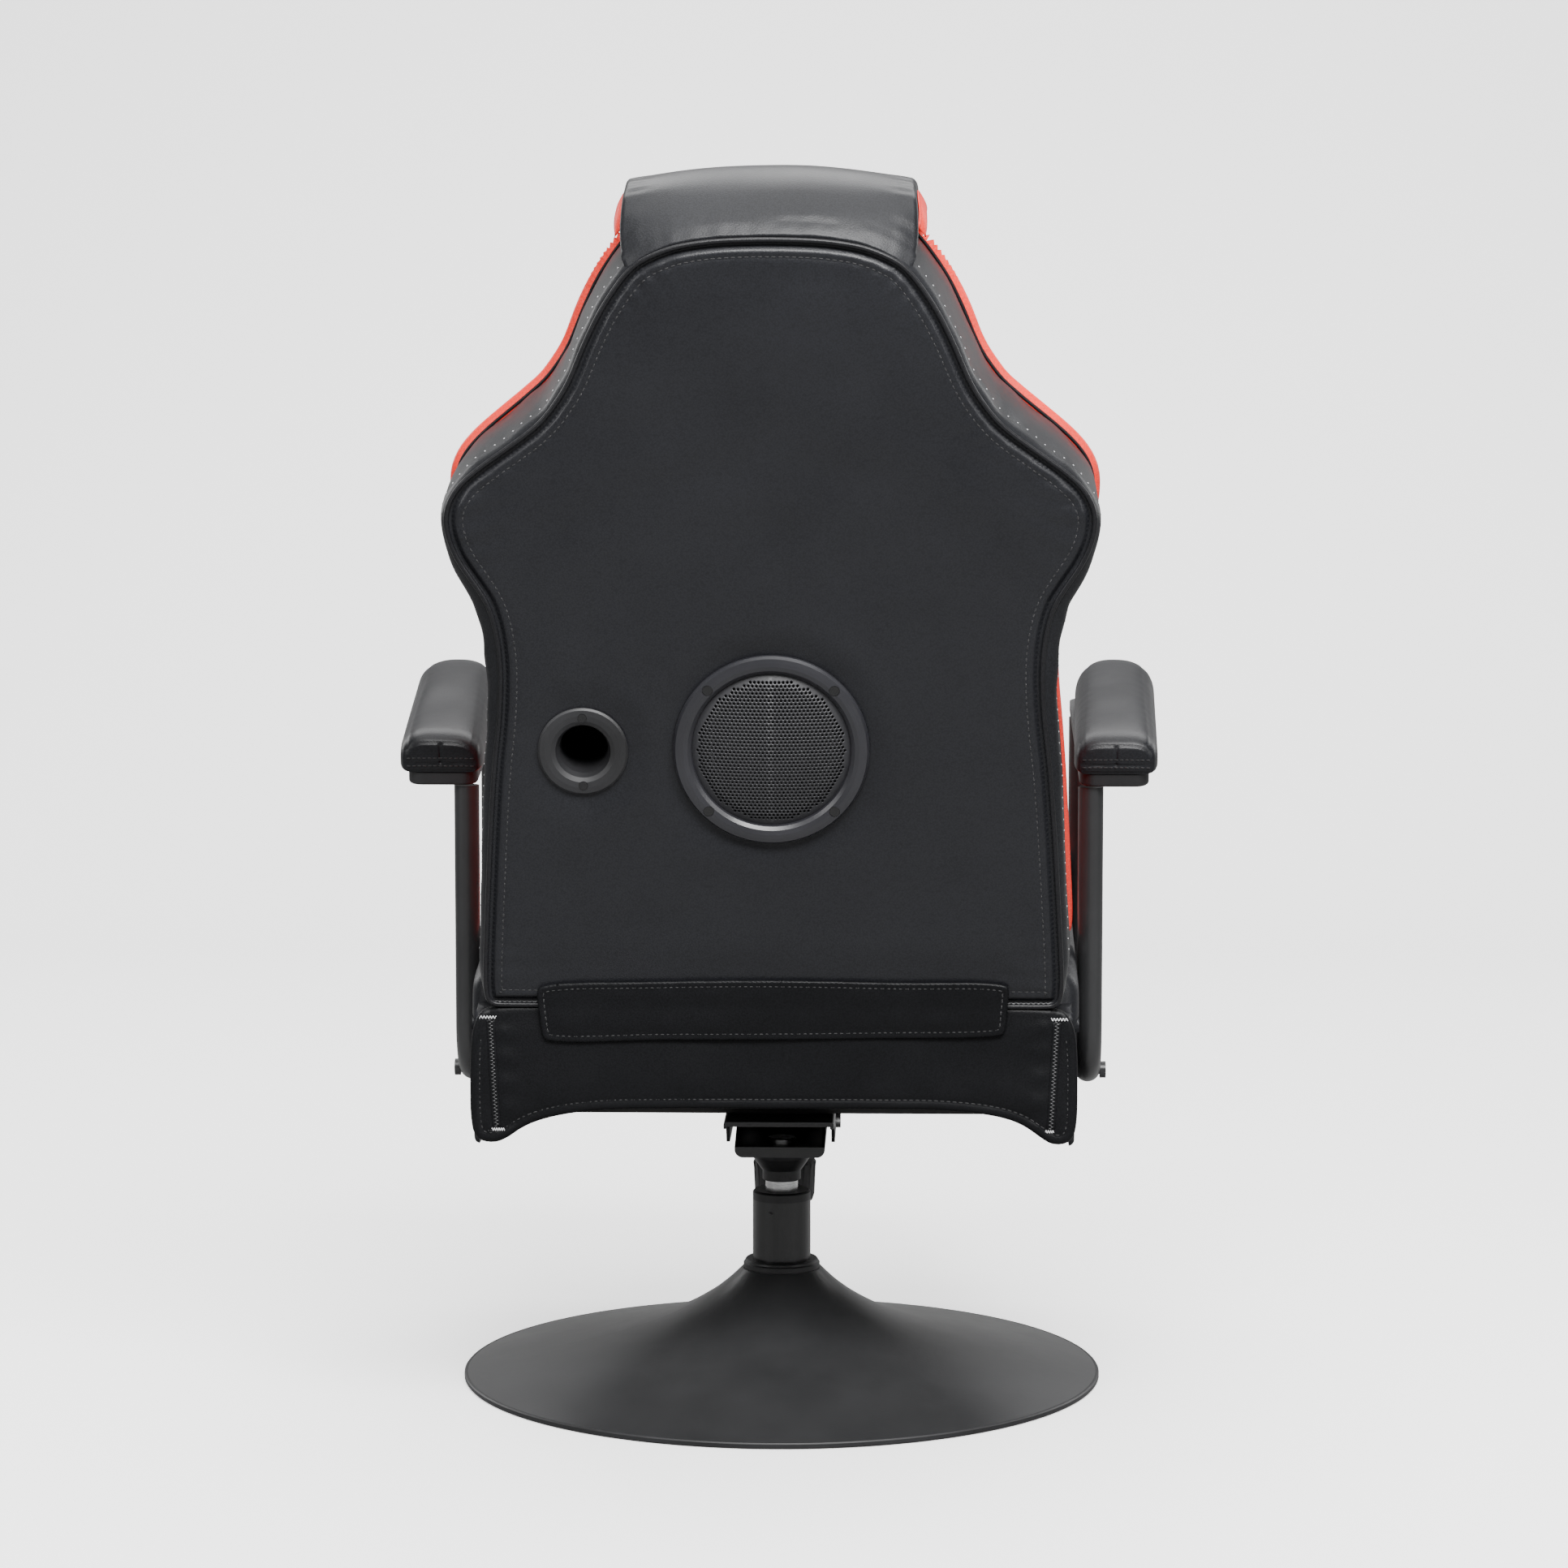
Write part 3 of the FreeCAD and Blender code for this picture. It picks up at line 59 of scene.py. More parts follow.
class Nodes:
    """A small helper for node trees: every texture runs on object coordinates in metres."""

    def __init__(self, name):
        self.mat = bpy.data.materials.new(name)
        self.mat.use_nodes = True
        self.tree = self.mat.node_tree
        self.tree.nodes.clear()
        self.out = self.add("ShaderNodeOutputMaterial")
        self.bsdf = self.add("ShaderNodeBsdfPrincipled")
        self.link(self.bsdf, "BSDF", self.out, "Surface")
        self.coord = self.add("ShaderNodeTexCoord")

    def add(self, kind, **props):
        n = self.tree.nodes.new(kind)
        for k, v in props.items():
            setattr(n, k, v)
        return n

    def link(self, a, out, b, inp):
        self.tree.links.new(a.outputs[out], b.inputs[inp])

    def scaled(self, sx, sy, sz, rot=(0, 0, 0)):
        m = self.add("ShaderNodeMapping")
        m.inputs["Scale"].default_value = (sx, sy, sz)
        m.inputs["Rotation"].default_value = rot
        self.link(self.coord, "Object", m, "Vector")
        return m

    def noise(self, scale, detail=2.0, rough=0.5, src=None, distortion=0.0):
        n = self.add("ShaderNodeTexNoise")
        n.inputs["Scale"].default_value = scale
        n.inputs["Detail"].default_value = detail
        n.inputs["Roughness"].default_value = rough
        n.inputs["Distortion"].default_value = distortion
        self.tree.links.new((src or self.coord).outputs["Vector" if src else "Object"], n.inputs["Vector"])
        return n

    def voronoi(self, scale, feature="F1", src=None, rand=1.0):
        n = self.add("ShaderNodeTexVoronoi")
        n.feature = feature
        n.inputs["Scale"].default_value = scale
        n.inputs["Randomness"].default_value = rand
        self.tree.links.new((src or self.coord).outputs["Vector" if src else "Object"], n.inputs["Vector"])
        return n

    def ramp(self, node, out, stops, interp="LINEAR"):
        r = self.add("ShaderNodeValToRGB")
        r.color_ramp.interpolation = interp
        els = r.color_ramp.elements
        while len(els) < len(stops):
            els.new(0.5)
        for e, (p, c) in zip(els, stops):
            e.position = p
            e.color = (*c, 1) if len(c) == 3 else c
        self.link(node, out, r, "Fac")
        return r

    def span(self, node, out, lo, hi, src_lo=0.0, src_hi=1.0):
        r = self.add("ShaderNodeMapRange")
        r.inputs["From Min"].default_value = src_lo
        r.inputs["From Max"].default_value = src_hi
        r.inputs["To Min"].default_value = lo
        r.inputs["To Max"].default_value = hi
        self.link(node, out, r, "Value")
        return r

    def math(self, op, a, b=None, clamp=False):
        m = self.add("ShaderNodeMath")
        m.operation = op
        m.use_clamp = clamp
        for i, v in enumerate((a, b)):
            if v is None:
                continue
            if isinstance(v, (int, float)):
                m.inputs[i].default_value = v
            else:
                self.tree.links.new(v[0].outputs[v[1]], m.inputs[i])
        return m

    def bump(self, node, out, strength, distance, previous=None):
        b = self.add("ShaderNodeBump")
        b.inputs["Strength"].default_value = strength
        b.inputs["Distance"].default_value = distance
        self.link(node, out, b, "Height")
        if previous:
            self.link(previous, "Normal", b, "Normal")
        return b


def finish_material(n, rough=None, **sockets):
    for k, v in sockets.items():
        n.bsdf.inputs[k.replace("_", " ")].default_value = v
    if rough is not None:
        n.bsdf.inputs["Roughness"].default_value = rough
    return n.mat


def leather(name, dark, light, rough=(0.36, 0.5), grain=1.0, sheen=0.0, spec=0.23):
    """Coated leather: round pebbles about 1.2 mm across with creases between them."""
    n = Nodes(name)
    warp = n.noise(60, 2, 0.5)
    mix = n.add("ShaderNodeMix", data_type="VECTOR")
    mix.inputs["Factor"].default_value = 0.0022
    n.tree.links.new(n.coord.outputs["Object"], mix.inputs["A"])
    n.tree.links.new(warp.outputs["Color"], mix.inputs["B"])
    pebbles = n.add("ShaderNodeTexVoronoi")
    pebbles.feature = "SMOOTH_F1"
    pebbles.inputs["Scale"].default_value = 760
    pebbles.inputs["Smoothness"].default_value = 0.35
    n.tree.links.new(mix.outputs["Result"], pebbles.inputs["Vector"])
    creases = n.voronoi(300, "DISTANCE_TO_EDGE")
    cr = n.span(creases, "Distance", 0.0, 1.0, 0.0, 0.09)
    big = n.noise(9, 3, 0.55)
    fine = n.noise(1500, 2, 0.6)
    peb = n.span(pebbles, "Distance", 1.0, 0.0, 0.0, 0.75)
    h1 = n.math("MULTIPLY", (peb, "Result"), 0.75)
    h2 = n.math("MULTIPLY", (cr, "Result"), 0.22)
    h3 = n.math("MULTIPLY", (fine, "Fac"), 0.12)
    h = n.math("ADD", (h1, "Value"), (h2, "Value"))
    h = n.math("ADD", (h, "Value"), (h3, "Value"))
    bump = n.bump(h, "Value", 0.42 * grain, 0.00022)
    slow = n.bump(big, "Fac", 0.16, 0.004, bump)
    n.link(slow, "Normal", n.bsdf, "Normal")
    # colour: random tone from the large noise plus painted crease shade, pebble tops lighter and the creases between
    # them darker
    tone = n.math("MULTIPLY", (big, "Fac"), 0.7)
    tone = n.math("ADD", (tone, "Value"), (h1, "Value"), clamp=True)
    col = n.ramp(tone, "Value", [(0.15, dark), (0.95, light)])
    n.link(col, "Color", n.bsdf, "Base Color")
    r = n.span(big, "Fac", rough[0], rough[1], 0.3, 0.7)
    n.link(r, "Result", n.bsdf, "Roughness")
    return finish_material(n, Specular_IOR_Level=spec, Sheen_Weight=sheen)


def powder(name, dark, light, rough=(0.28, 0.38)):
    """Satin powder coat over steel: faint orange peel and a trace of dust and wear."""
    n = Nodes(name)
    peel = n.noise(420, 3, 0.55)
    spots = n.noise(1400, 1, 0.5)
    dust = n.noise(7, 5, 0.6)
    b = n.bump(peel, "Fac", 0.12, 0.0003)
    b2 = n.bump(spots, "Fac", 0.05, 0.0001, b)
    n.link(b2, "Normal", n.bsdf, "Normal")
    col = n.ramp(dust, "Fac", [(0.3, dark), (0.75, light)])
    n.link(col, "Color", n.bsdf, "Base Color")
    r = n.span(dust, "Fac", rough[0], rough[1], 0.3, 0.7)
    n.link(r, "Result", n.bsdf, "Roughness")
    return finish_material(n, Specular_IOR_Level=0.55)


def plastic(name, dark, light, rough=(0.42, 0.55), texture=0.22):
    """Moulded plastic with spark texture."""
    n = Nodes(name)
    grain = n.voronoi(1700, "F1")
    cloud = n.noise(14, 3, 0.5)
    b = n.bump(grain, "Distance", texture, 0.00015)
    n.link(b, "Normal", n.bsdf, "Normal")
    col = n.ramp(cloud, "Fac", [(0.3, dark), (0.7, light)])
    n.link(col, "Color", n.bsdf, "Base Color")
    r = n.span(cloud, "Fac", rough[0], rough[1], 0.3, 0.7)
    n.link(r, "Result", n.bsdf, "Roughness")
    return finish_material(n, Specular_IOR_Level=0.5)


def steel(name, color=(0.6, 0.6, 0.6), rough=(0.22, 0.36), axis=(40, 40, 1600)):
    """Turned or ground steel with fine lines and a little staining."""
    n = Nodes(name)
    lines = n.noise(1.0, 3, 0.6, n.scaled(*axis))
    cloud = n.noise(30, 3, 0.6)
    b = n.bump(lines, "Fac", 0.12, 0.00008)
    n.link(b, "Normal", n.bsdf, "Normal")
    c0 = tuple(v * 0.72 for v in color)
    col = n.ramp(cloud, "Fac", [(0.3, c0), (0.65, color)])
    n.link(col, "Color", n.bsdf, "Base Color")
    r = n.span(lines, "Fac", rough[0], rough[1], 0.3, 0.7)
    n.link(r, "Result", n.bsdf, "Roughness")
    return finish_material(n, Metallic=1.0)


def rubber(name):
    n = Nodes(name)
    grain = n.noise(900, 2, 0.6)
    b = n.bump(grain, "Fac", 0.2, 0.0002)
    n.link(b, "Normal", n.bsdf, "Normal")
    col = n.ramp(grain, "Fac", [(0.3, (0.012, 0.012, 0.012)), (0.8, (0.03, 0.03, 0.03))])
    n.link(col, "Color", n.bsdf, "Base Color")
    return finish_material(n, rough=0.8)


def thread(name, dark, light):
    n = Nodes(name)
    twist = n.add("ShaderNodeTexWave")
    twist.inputs["Scale"].default_value = 900
    twist.inputs["Distortion"].default_value = 1.0
    n.link(n.coord, "Object", twist, "Vector")
    b = n.bump(twist, "Fac", 0.4, 0.0001)
    n.link(b, "Normal", n.bsdf, "Normal")
    col = n.ramp(twist, "Fac", [(0.2, dark), (0.8, light)])
    n.link(col, "Color", n.bsdf, "Base Color")
    return finish_material(n, rough=0.6, Sheen_Weight=0.2)


def timber(name):
    """Plywood edges and faces: long grain with darker plies."""
    n = Nodes(name)
    grain = n.noise(1.0, 5, 0.6, n.scaled(9, 120, 420), distortion=0.4)
    plies = n.add("ShaderNodeTexWave")
    plies.wave_type = "BANDS"
    plies.bands_direction = "Z"
    plies.inputs["Scale"].default_value = 130
    plies.inputs["Distortion"].default_value = 0.6
    n.link(n.coord, "Object", plies, "Vector")
    mix = n.math("MULTIPLY", (grain, "Fac"), (plies, "Fac"))
    tone = n.math("ADD", (mix, "Value"), (grain, "Fac"))
    col = n.ramp(tone, "Value", [(0.35, (0.2, 0.12, 0.06)), (0.9, (0.5, 0.36, 0.2))])
    n.link(col, "Color", n.bsdf, "Base Color")
    b = n.bump(grain, "Fac", 0.25, 0.0003)
    n.link(b, "Normal", n.bsdf, "Normal")
    return finish_material(n, rough=0.65)


def weave(name, dark, light, pitch=900):
    """Plain woven cloth."""
    n = Nodes(name)
    wx = n.add("ShaderNodeTexWave", bands_direction="X")
    wy = n.add("ShaderNodeTexWave", bands_direction="Y")
    for w in (wx, wy):
        w.inputs["Scale"].default_value = pitch / 3
        w.inputs["Distortion"].default_value = 0.3
        n.link(n.coord, "Object", w, "Vector")
    h = n.math("MULTIPLY", (wx, "Fac"), (wy, "Fac"))
    b = n.bump(h, "Value", 0.5, 0.0003)
    n.link(b, "Normal", n.bsdf, "Normal")
    col = n.ramp(h, "Value", [(0.1, dark), (0.7, light)])
    n.link(col, "Color", n.bsdf, "Base Color")
    return finish_material(n, rough=0.85, Sheen_Weight=0.3)


def foam(name):
    n = Nodes(name)
    cells = n.voronoi(900, "F1")
    b = n.bump(cells, "Distance", 0.6, 0.0006)
    n.link(b, "Normal", n.bsdf, "Normal")
    col = n.ramp(cells, "Distance", [(0.2, (0.55, 0.5, 0.4)), (0.7, (0.3, 0.27, 0.2))])
    n.link(col, "Color", n.bsdf, "Base Color")
    return finish_material(n, rough=0.95)


BLACK_LEATHER = leather("black_leather", (0.0052, 0.0054, 0.0064), (0.0125, 0.013, 0.0155), (0.36, 0.47))
BLACK_LEATHER_SOFT = leather("black_leather_soft", (0.005, 0.0052, 0.006), (0.0118, 0.0123, 0.0145), (0.32, 0.43), 0.8)
# lighter copy of the black leather for the rear panel: painted light on the panel
PANEL_LEATHER_PAINTED_LIGHT = leather("black_leather_rear_painted_light", (0.0075, 0.0077, 0.009), (0.0132, 0.0137, 0.0162), (0.29, 0.38), 1.0, 0.0, 0.27)
# darker copy of the black leather for the apron, flap and zip tapes: painted shade under the seat and backrest
BLACK_LEATHER_PAINTED_SHADE = leather("black_leather_painted_shade", (0.0022, 0.0023, 0.0027), (0.0052, 0.0054, 0.0064), (0.4, 0.52), 0.9, 0.0, 0.14)
RED_LEATHER = leather("red_leather", (0.6, 0.022, 0.014), (0.82, 0.04, 0.026), (0.38, 0.5), 0.8)
PIPING_BLACK = leather("black_piping", (0.005, 0.005, 0.0056), (0.011, 0.011, 0.0125), (0.28, 0.38), 0.5)
# lighter copy of the powder coat for the trumpet base and arm tubes: painted sheen
POWDER_PAINTED_SHEEN = powder("black_powder_coat_painted_sheen", (0.0165, 0.0168, 0.0176), (0.028, 0.0284, 0.0295), (0.29, 0.38))
GRILLE_STEEL = powder("black_grille_steel", (0.022, 0.022, 0.024), (0.042, 0.042, 0.045), (0.22, 0.32))
POWDER = powder("black_powder_coat", (0.011, 0.0112, 0.0118), (0.02, 0.0203, 0.021), (0.3, 0.4))
PLASTIC = plastic("black_plastic", (0.006, 0.006, 0.0066), (0.012, 0.012, 0.0135))
RING_PLASTIC = plastic("speaker_ring_plastic", (0.013, 0.013, 0.0155), (0.02, 0.02, 0.0235), (0.3, 0.38), 0.12)
STEEL = steel("bright_steel")
DARK_STEEL = powder("blackened_steel", (0.01, 0.01, 0.011), (0.03, 0.03, 0.032), (0.3, 0.45))
RUBBER = rubber("black_rubber")
THREAD_BLACK = thread("black_thread", (0.003, 0.003, 0.0034), (0.009, 0.009, 0.01))
THREAD_WHITE = thread("white_thread", (0.45, 0.45, 0.46), (0.75, 0.75, 0.76))
THREAD_RED = thread("red_thread", (0.3, 0.01, 0.01), (0.6, 0.03, 0.03))
TIMBER = timber("timber_board")
# very dark screws: their own black oxide plus painted shade of the recesses they sit in
OXIDE_AND_RECESS_SHADE = powder("black_oxide_screw_and_recess_shade", (0.0022, 0.0022, 0.0024), (0.0035, 0.0035, 0.0038), (0.16, 0.22))
BLACK_BOARD = powder("black_stained_board", (0.008, 0.0078, 0.0075), (0.02, 0.019, 0.018), (0.6, 0.75))
FOAM = foam("grey_foam")
DUST_CLOTH = weave("dust_cloth", (0.006, 0.006, 0.006), (0.025, 0.025, 0.025))
# black cone paper made darker still: painted shade inside the speaker behind the grille
CONE = weave("cone_paper", (0.003, 0.003, 0.003), (0.01, 0.01, 0.01), 500)

SLOT_OF = {
    "black_powder_coat": POWDER, "black_plastic": PLASTIC, "bright_steel": STEEL,
    "black_steel": DARK_STEEL, "black_rubber": RUBBER, "timber_board": TIMBER,
    "grey_foam": FOAM, "black_cover_padded": BLACK_LEATHER, "black_cover": BLACK_LEATHER,
    "red_cover_padded": RED_LEATHER, "cone_paper": CONE, "black_board": BLACK_BOARD,
}
NODE_MATERIAL = {"woofer_ring": RING_PLASTIC, "bass_port": PLASTIC, "seat_base_board": BLACK_BOARD, "back_board": BLACK_BOARD,
                 # the speaker screws are very dark: black oxide plus painted recess shade
                 "speaker_enclosure": BLACK_BOARD, "speaker_screws": OXIDE_AND_RECESS_SHADE,
                 "seat_side_rails": BLACK_BOARD, "seat_cross_rails": BLACK_BOARD,
                 # the trumpet base and the arm tubes take the lighter powder coat, a painted sheen
                 "base_trumpet": POWDER_PAINTED_SHEEN, "arm_tube_left": POWDER_PAINTED_SHEEN, "arm_tube_right": POWDER_PAINTED_SHEEN}


def dress_cad():
    slots = {s["node"]: s["material_slot"] for s in frame["record"]["subparts"]}
    for name in frame["nodes"]:
        obj = frame["nodes"][name] if isinstance(frame["nodes"], dict) else bpy.data.objects[name]
        m = NODE_MATERIAL.get(name) or SLOT_OF.get(slots.get(name), PLASTIC)
        if not obj.material_slots:
            obj.data.materials.append(m)
        for s in obj.material_slots:
            s.material = m


# ------------------------------------------------------------------ mesh helpers


def make(name, verts, faces, mat, body, slot, smooth=True, mats=None, face_mats=None):
    me = bpy.data.meshes.new(name)
    me.from_pydata([tuple(v) for v in verts], [], [tuple(int(i) for i in f) for f in faces])
    me.validate()
    for m in (mats or [mat]):
        me.materials.append(m)
    if face_mats is not None:
        for p, k in zip(me.polygons, face_mats):
            p.material_index = k
    me.polygons.foreach_set("use_smooth", [smooth] * len(me.polygons))
    me.update()
    ob = bpy.data.objects.new(name, me)
    bpy.context.collection.objects.link(ob)
    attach(ob, body)
    return ob


def outward(ob):
    """Make the face normals consistent and pointing out."""
    bm = bmesh.new()
    bm.from_mesh(ob.data)
    bmesh.ops.remove_doubles(bm, verts=bm.verts, dist=1e-6)
    bmesh.ops.recalc_face_normals(bm, faces=bm.faces)
    bm.to_mesh(ob.data)
    bm.free()
    return ob


def resample(pts, step, closed=False):
    pts = np.asarray(pts, float)
    if closed:
        pts = np.vstack([pts, pts[:1]])
    seg = np.linalg.norm(np.diff(pts, axis=0), axis=1)
    arc = np.concatenate([[0], np.cumsum(seg)])
    n = max(2, int(round(arc[-1] / step)))
    t = np.linspace(0, arc[-1], n + 1)
    out = np.stack([np.interp(t, arc, pts[:, k]) for k in range(pts.shape[1])], axis=1)
    return out[:-1] if closed else out


def catmull(pts, closed=False, per=8):
    pts = np.asarray(pts, float)
    n = len(pts)
    out = []
    rng = range(n) if closed else range(n - 1)
    for i in rng:
        if closed:
            p = [pts[(i + k - 1) % n] for k in range(4)]
        else:
            p = [pts[max(0, min(n - 1, i + k - 1))] for k in range(4)]
        d = [max(np.linalg.norm(p[k + 1] - p[k]), 1e-9) ** 0.5 for k in range(3)]
        t0, t1 = 0.0, d[0]
        t2 = t1 + d[1]
        t3 = t2 + d[2]
        for t in np.linspace(t1, t2, per, endpoint=False):
            a1 = (t1 - t) / max(t1 - t0, 1e-9) * p[0] + (t - t0) / max(t1 - t0, 1e-9) * p[1] if d[0] > 1e-4 else p[1]
            a2 = (t2 - t) / (t2 - t1) * p[1] + (t - t1) / (t2 - t1) * p[2]
            a3 = (t3 - t) / max(t3 - t2, 1e-9) * p[2] + (t - t2) / max(t3 - t2, 1e-9) * p[3] if d[2] > 1e-4 else p[2]
            b1 = (t2 - t) / (t2 - t0) * a1 + (t - t0) / (t2 - t0) * a2
            b2 = (t3 - t) / (t3 - t1) * a2 + (t - t1) / (t3 - t1) * a3
            out.append((t2 - t) / (t2 - t1) * b1 + (t - t1) / (t2 - t1) * b2)
    if not closed:
        out.append(pts[-1])
    return np.array(out)


def smooth_loop(pts, times=2, closed=True):
    pts = np.asarray(pts, float).copy()
    for _ in range(times):
        if closed:
            pts = 0.5 * pts + 0.25 * (np.roll(pts, 1, 0) + np.roll(pts, -1, 0))
        else:
            q = pts.copy()
            q[1:-1] = 0.5 * pts[1:-1] + 0.25 * (pts[:-2] + pts[2:])
            pts = q
    return pts


def normals2(loop):
    """Outward normals of a clockwise closed loop in the plane."""
    t = np.roll(loop, -1, 0) - np.roll(loop, 1, 0)
    n = np.stack([-t[:, 1], t[:, 0]], axis=1)
    n /= np.linalg.norm(n, axis=1)[:, None]
    area = 0.5 * np.sum(loop[:, 0] * np.roll(loop[:, 1], -1) - np.roll(loop[:, 0], -1) * loop[:, 1])
    return n if area < 0 else -n


def inside(loop, pts):
    x, y = pts[:, 0][:, None], pts[:, 1][:, None]
    a, b = loop, np.roll(loop, -1, 0)
    cond = (a[:, 1][None] > y) != (b[:, 1][None] > y)
    with np.errstate(divide="ignore", invalid="ignore"):
        xi = (b[:, 0] - a[:, 0])[None] * (y - a[:, 1][None]) / (b[:, 1] - a[:, 1])[None] + a[:, 0][None]
    return (np.sum(cond & (x < xi), axis=1) % 2) == 1


def dist_to(loop, pts, closed=True):
    """Distance and nearest segment index."""
    a = loop if closed else loop[:-1]
    b = np.roll(loop, -1, 0) if closed else loop[1:]
    ab = b - a
    ll = np.maximum(np.sum(ab * ab, axis=1), 1e-12)
    best = np.empty(len(pts))
    idx = np.empty(len(pts), int)
    for i in range(0, len(pts), 2000):
        p = pts[i : i + 2000]
        ap = p[:, None, :] - a[None]
        t = np.clip(np.sum(ap * ab[None], axis=2) / ll[None], 0, 1)
        d = np.linalg.norm(ap - t[..., None] * ab[None], axis=2)
        k = np.argmin(d, axis=1)
        best[i : i + 2000] = d[np.arange(len(p)), k]
        idx[i : i + 2000] = k
    return best, idx


def waves(x, y, scale, seed, count=9):
    """Smooth pseudo-random undulation between about -1 and 1; scale is a wavelength."""
    r = np.random.default_rng(seed)
    out = np.zeros_like(x, dtype=float)
    for _ in range(count):
        a = r.uniform(0, 2 * math.pi)
        k = 2 * math.pi / scale * r.uniform(0.6, 1.5)
        out += np.sin(k * (x * math.cos(a) + y * math.sin(a)) + r.uniform(0, 6.28))
    return out / math.sqrt(count) / 1.4


def smoothstep(a, b, x):
    t = np.clip((x - a) / (b - a), 0, 1)
    return t * t * (3 - 2 * t)


def flat_patch(loop, insets, spacing, holes=()):
    """Triangulated region inside a closed loop, dense in rings along its edge and round its holes."""
    nrm = normals2(loop)
    pts = [loop]
    edges = [(i, (i + 1) % len(loop)) for i in range(len(loop))]
    base = len(loop)
    for h in holes:
        n = len(h)
        edges += [(base + i, base + (i + 1) % n) for i in range(n)]
        pts.append(h)
        base += n
    extra = []
    for d in insets:
        ring = resample(loop - nrm * d, max(spacing * 0.8, 3.0), True)
        dist, _ = dist_to(loop, ring)
        ring = ring[(dist > d - 0.35) & inside(loop, ring)]
        extra.append(ring)
    lo, hi = loop.min(0), loop.max(0)
    gx = np.arange(lo[0], hi[0], spacing)
    gy = np.arange(lo[1], hi[1], spacing * 0.866)
    xx, yy = np.meshgrid(gx, gy)
    xx[1::2] += spacing / 2
    grid = np.stack([xx.ravel(), yy.ravel()], axis=1)
    grid = grid[inside(loop, grid)]
    dist, _ = dist_to(loop, grid)
    last = insets[-1] if insets else 0
    grid = grid[dist > last + spacing * 0.6]
    for h in holes:
        c = h.mean(0)
        r = np.linalg.norm(h - c, axis=1).max()
        grid = grid[np.linalg.norm(grid - c, axis=1) > r + spacing * 0.5]
    extra.append(grid)
    allp = np.vstack(pts + extra)
    res = delaunay_2d_cdt([Vector(p) for p in allp], edges, [], 0, 1e-5)
    v = np.array([tuple(p) for p in res[0]])
    f = np.array([tuple(q) for q in res[2] if len(q) == 3])
    cen = v[f].mean(1)
    keep = inside(loop, cen)
    for h in holes:
        keep &= ~inside(h, cen)
    f = f[keep]
    used = np.unique(f)
    remap = -np.ones(len(v), int)
    remap[used] = np.arange(len(used))
    return v[used], remap[f]


def tube(name, path, radius, mat, body, slot, closed=False, segs=10, squash=None, capped=True):
    path = np.asarray(path, float)
    n = len(path)
    if closed:
        tan = np.roll(path, -1, 0) - np.roll(path, 1, 0)
    else:
        tan = np.gradient(path, axis=0)
    tan /= np.linalg.norm(tan, axis=1)[:, None]
    ref = np.array([0, 0, 1.0]) if abs(tan[0][2]) < 0.9 else np.array([1.0, 0, 0])
    u = np.cross(tan[0], ref)
    u /= np.linalg.norm(u)
    us = [u]
    for i in range(1, n):
        w = us[-1] - tan[i] * np.dot(us[-1], tan[i])
        us.append(w / np.linalg.norm(w))
    us = np.array(us)
    if closed:
        w = us[-1] - tan[0] * np.dot(us[-1], tan[0])
        w /= np.linalg.norm(w)
        vv = np.cross(tan[0], us[0])
        ang = math.atan2(np.dot(w, vv), np.dot(w, us[0]))
        for i in range(n):
            a = -ang * i / n
            b = np.cross(tan[i], us[i])
            us[i] = us[i] * math.cos(a) + b * math.sin(a)
    vs = np.cross(tan, us)
    rad = np.broadcast_to(np.asarray(radius, float), (n,))
    th = np.linspace(0, 2 * math.pi, segs, endpoint=False)
    verts = (
        path[:, None, :]
        + rad[:, None, None] * (np.cos(th)[None, :, None] * us[:, None, :] + np.sin(th)[None, :, None] * vs[:, None, :])
    ).reshape(-1, 3)
    faces = []
    m = n if closed else n - 1
    for i in range(m):
        a, b = i * segs, ((i + 1) % n) * segs
        for j in range(segs):
            k = (j + 1) % segs
            faces.append((a + j, a + k, b + k, b + j))
    if not closed and capped:
        verts = np.vstack([verts, path[:1] - tan[:1] * rad[0] * 0.5, path[-1:] + tan[-1:] * rad[-1] * 0.5])
        c0, c1 = n * segs, n * segs + 1
        for j in range(segs):
            k = (j + 1) % segs
            faces.append((k, j, c0))
            faces.append(((n - 1) * segs + j, (n - 1) * segs + k, c1))
    return outward(make(name, verts, faces, mat, body, slot))


def grid_faces(n, m, wrap_n=False, wrap_m=False):
    faces = []
    for i in range(n if wrap_n else n - 1):
        for j in range(m if wrap_m else m - 1):
            a, b = i * m + j, i * m + (j + 1) % m
            c, d = ((i + 1) % n) * m + (j + 1) % m, ((i + 1) % n) * m + j
            faces.append((a, b, c, d))
    return faces


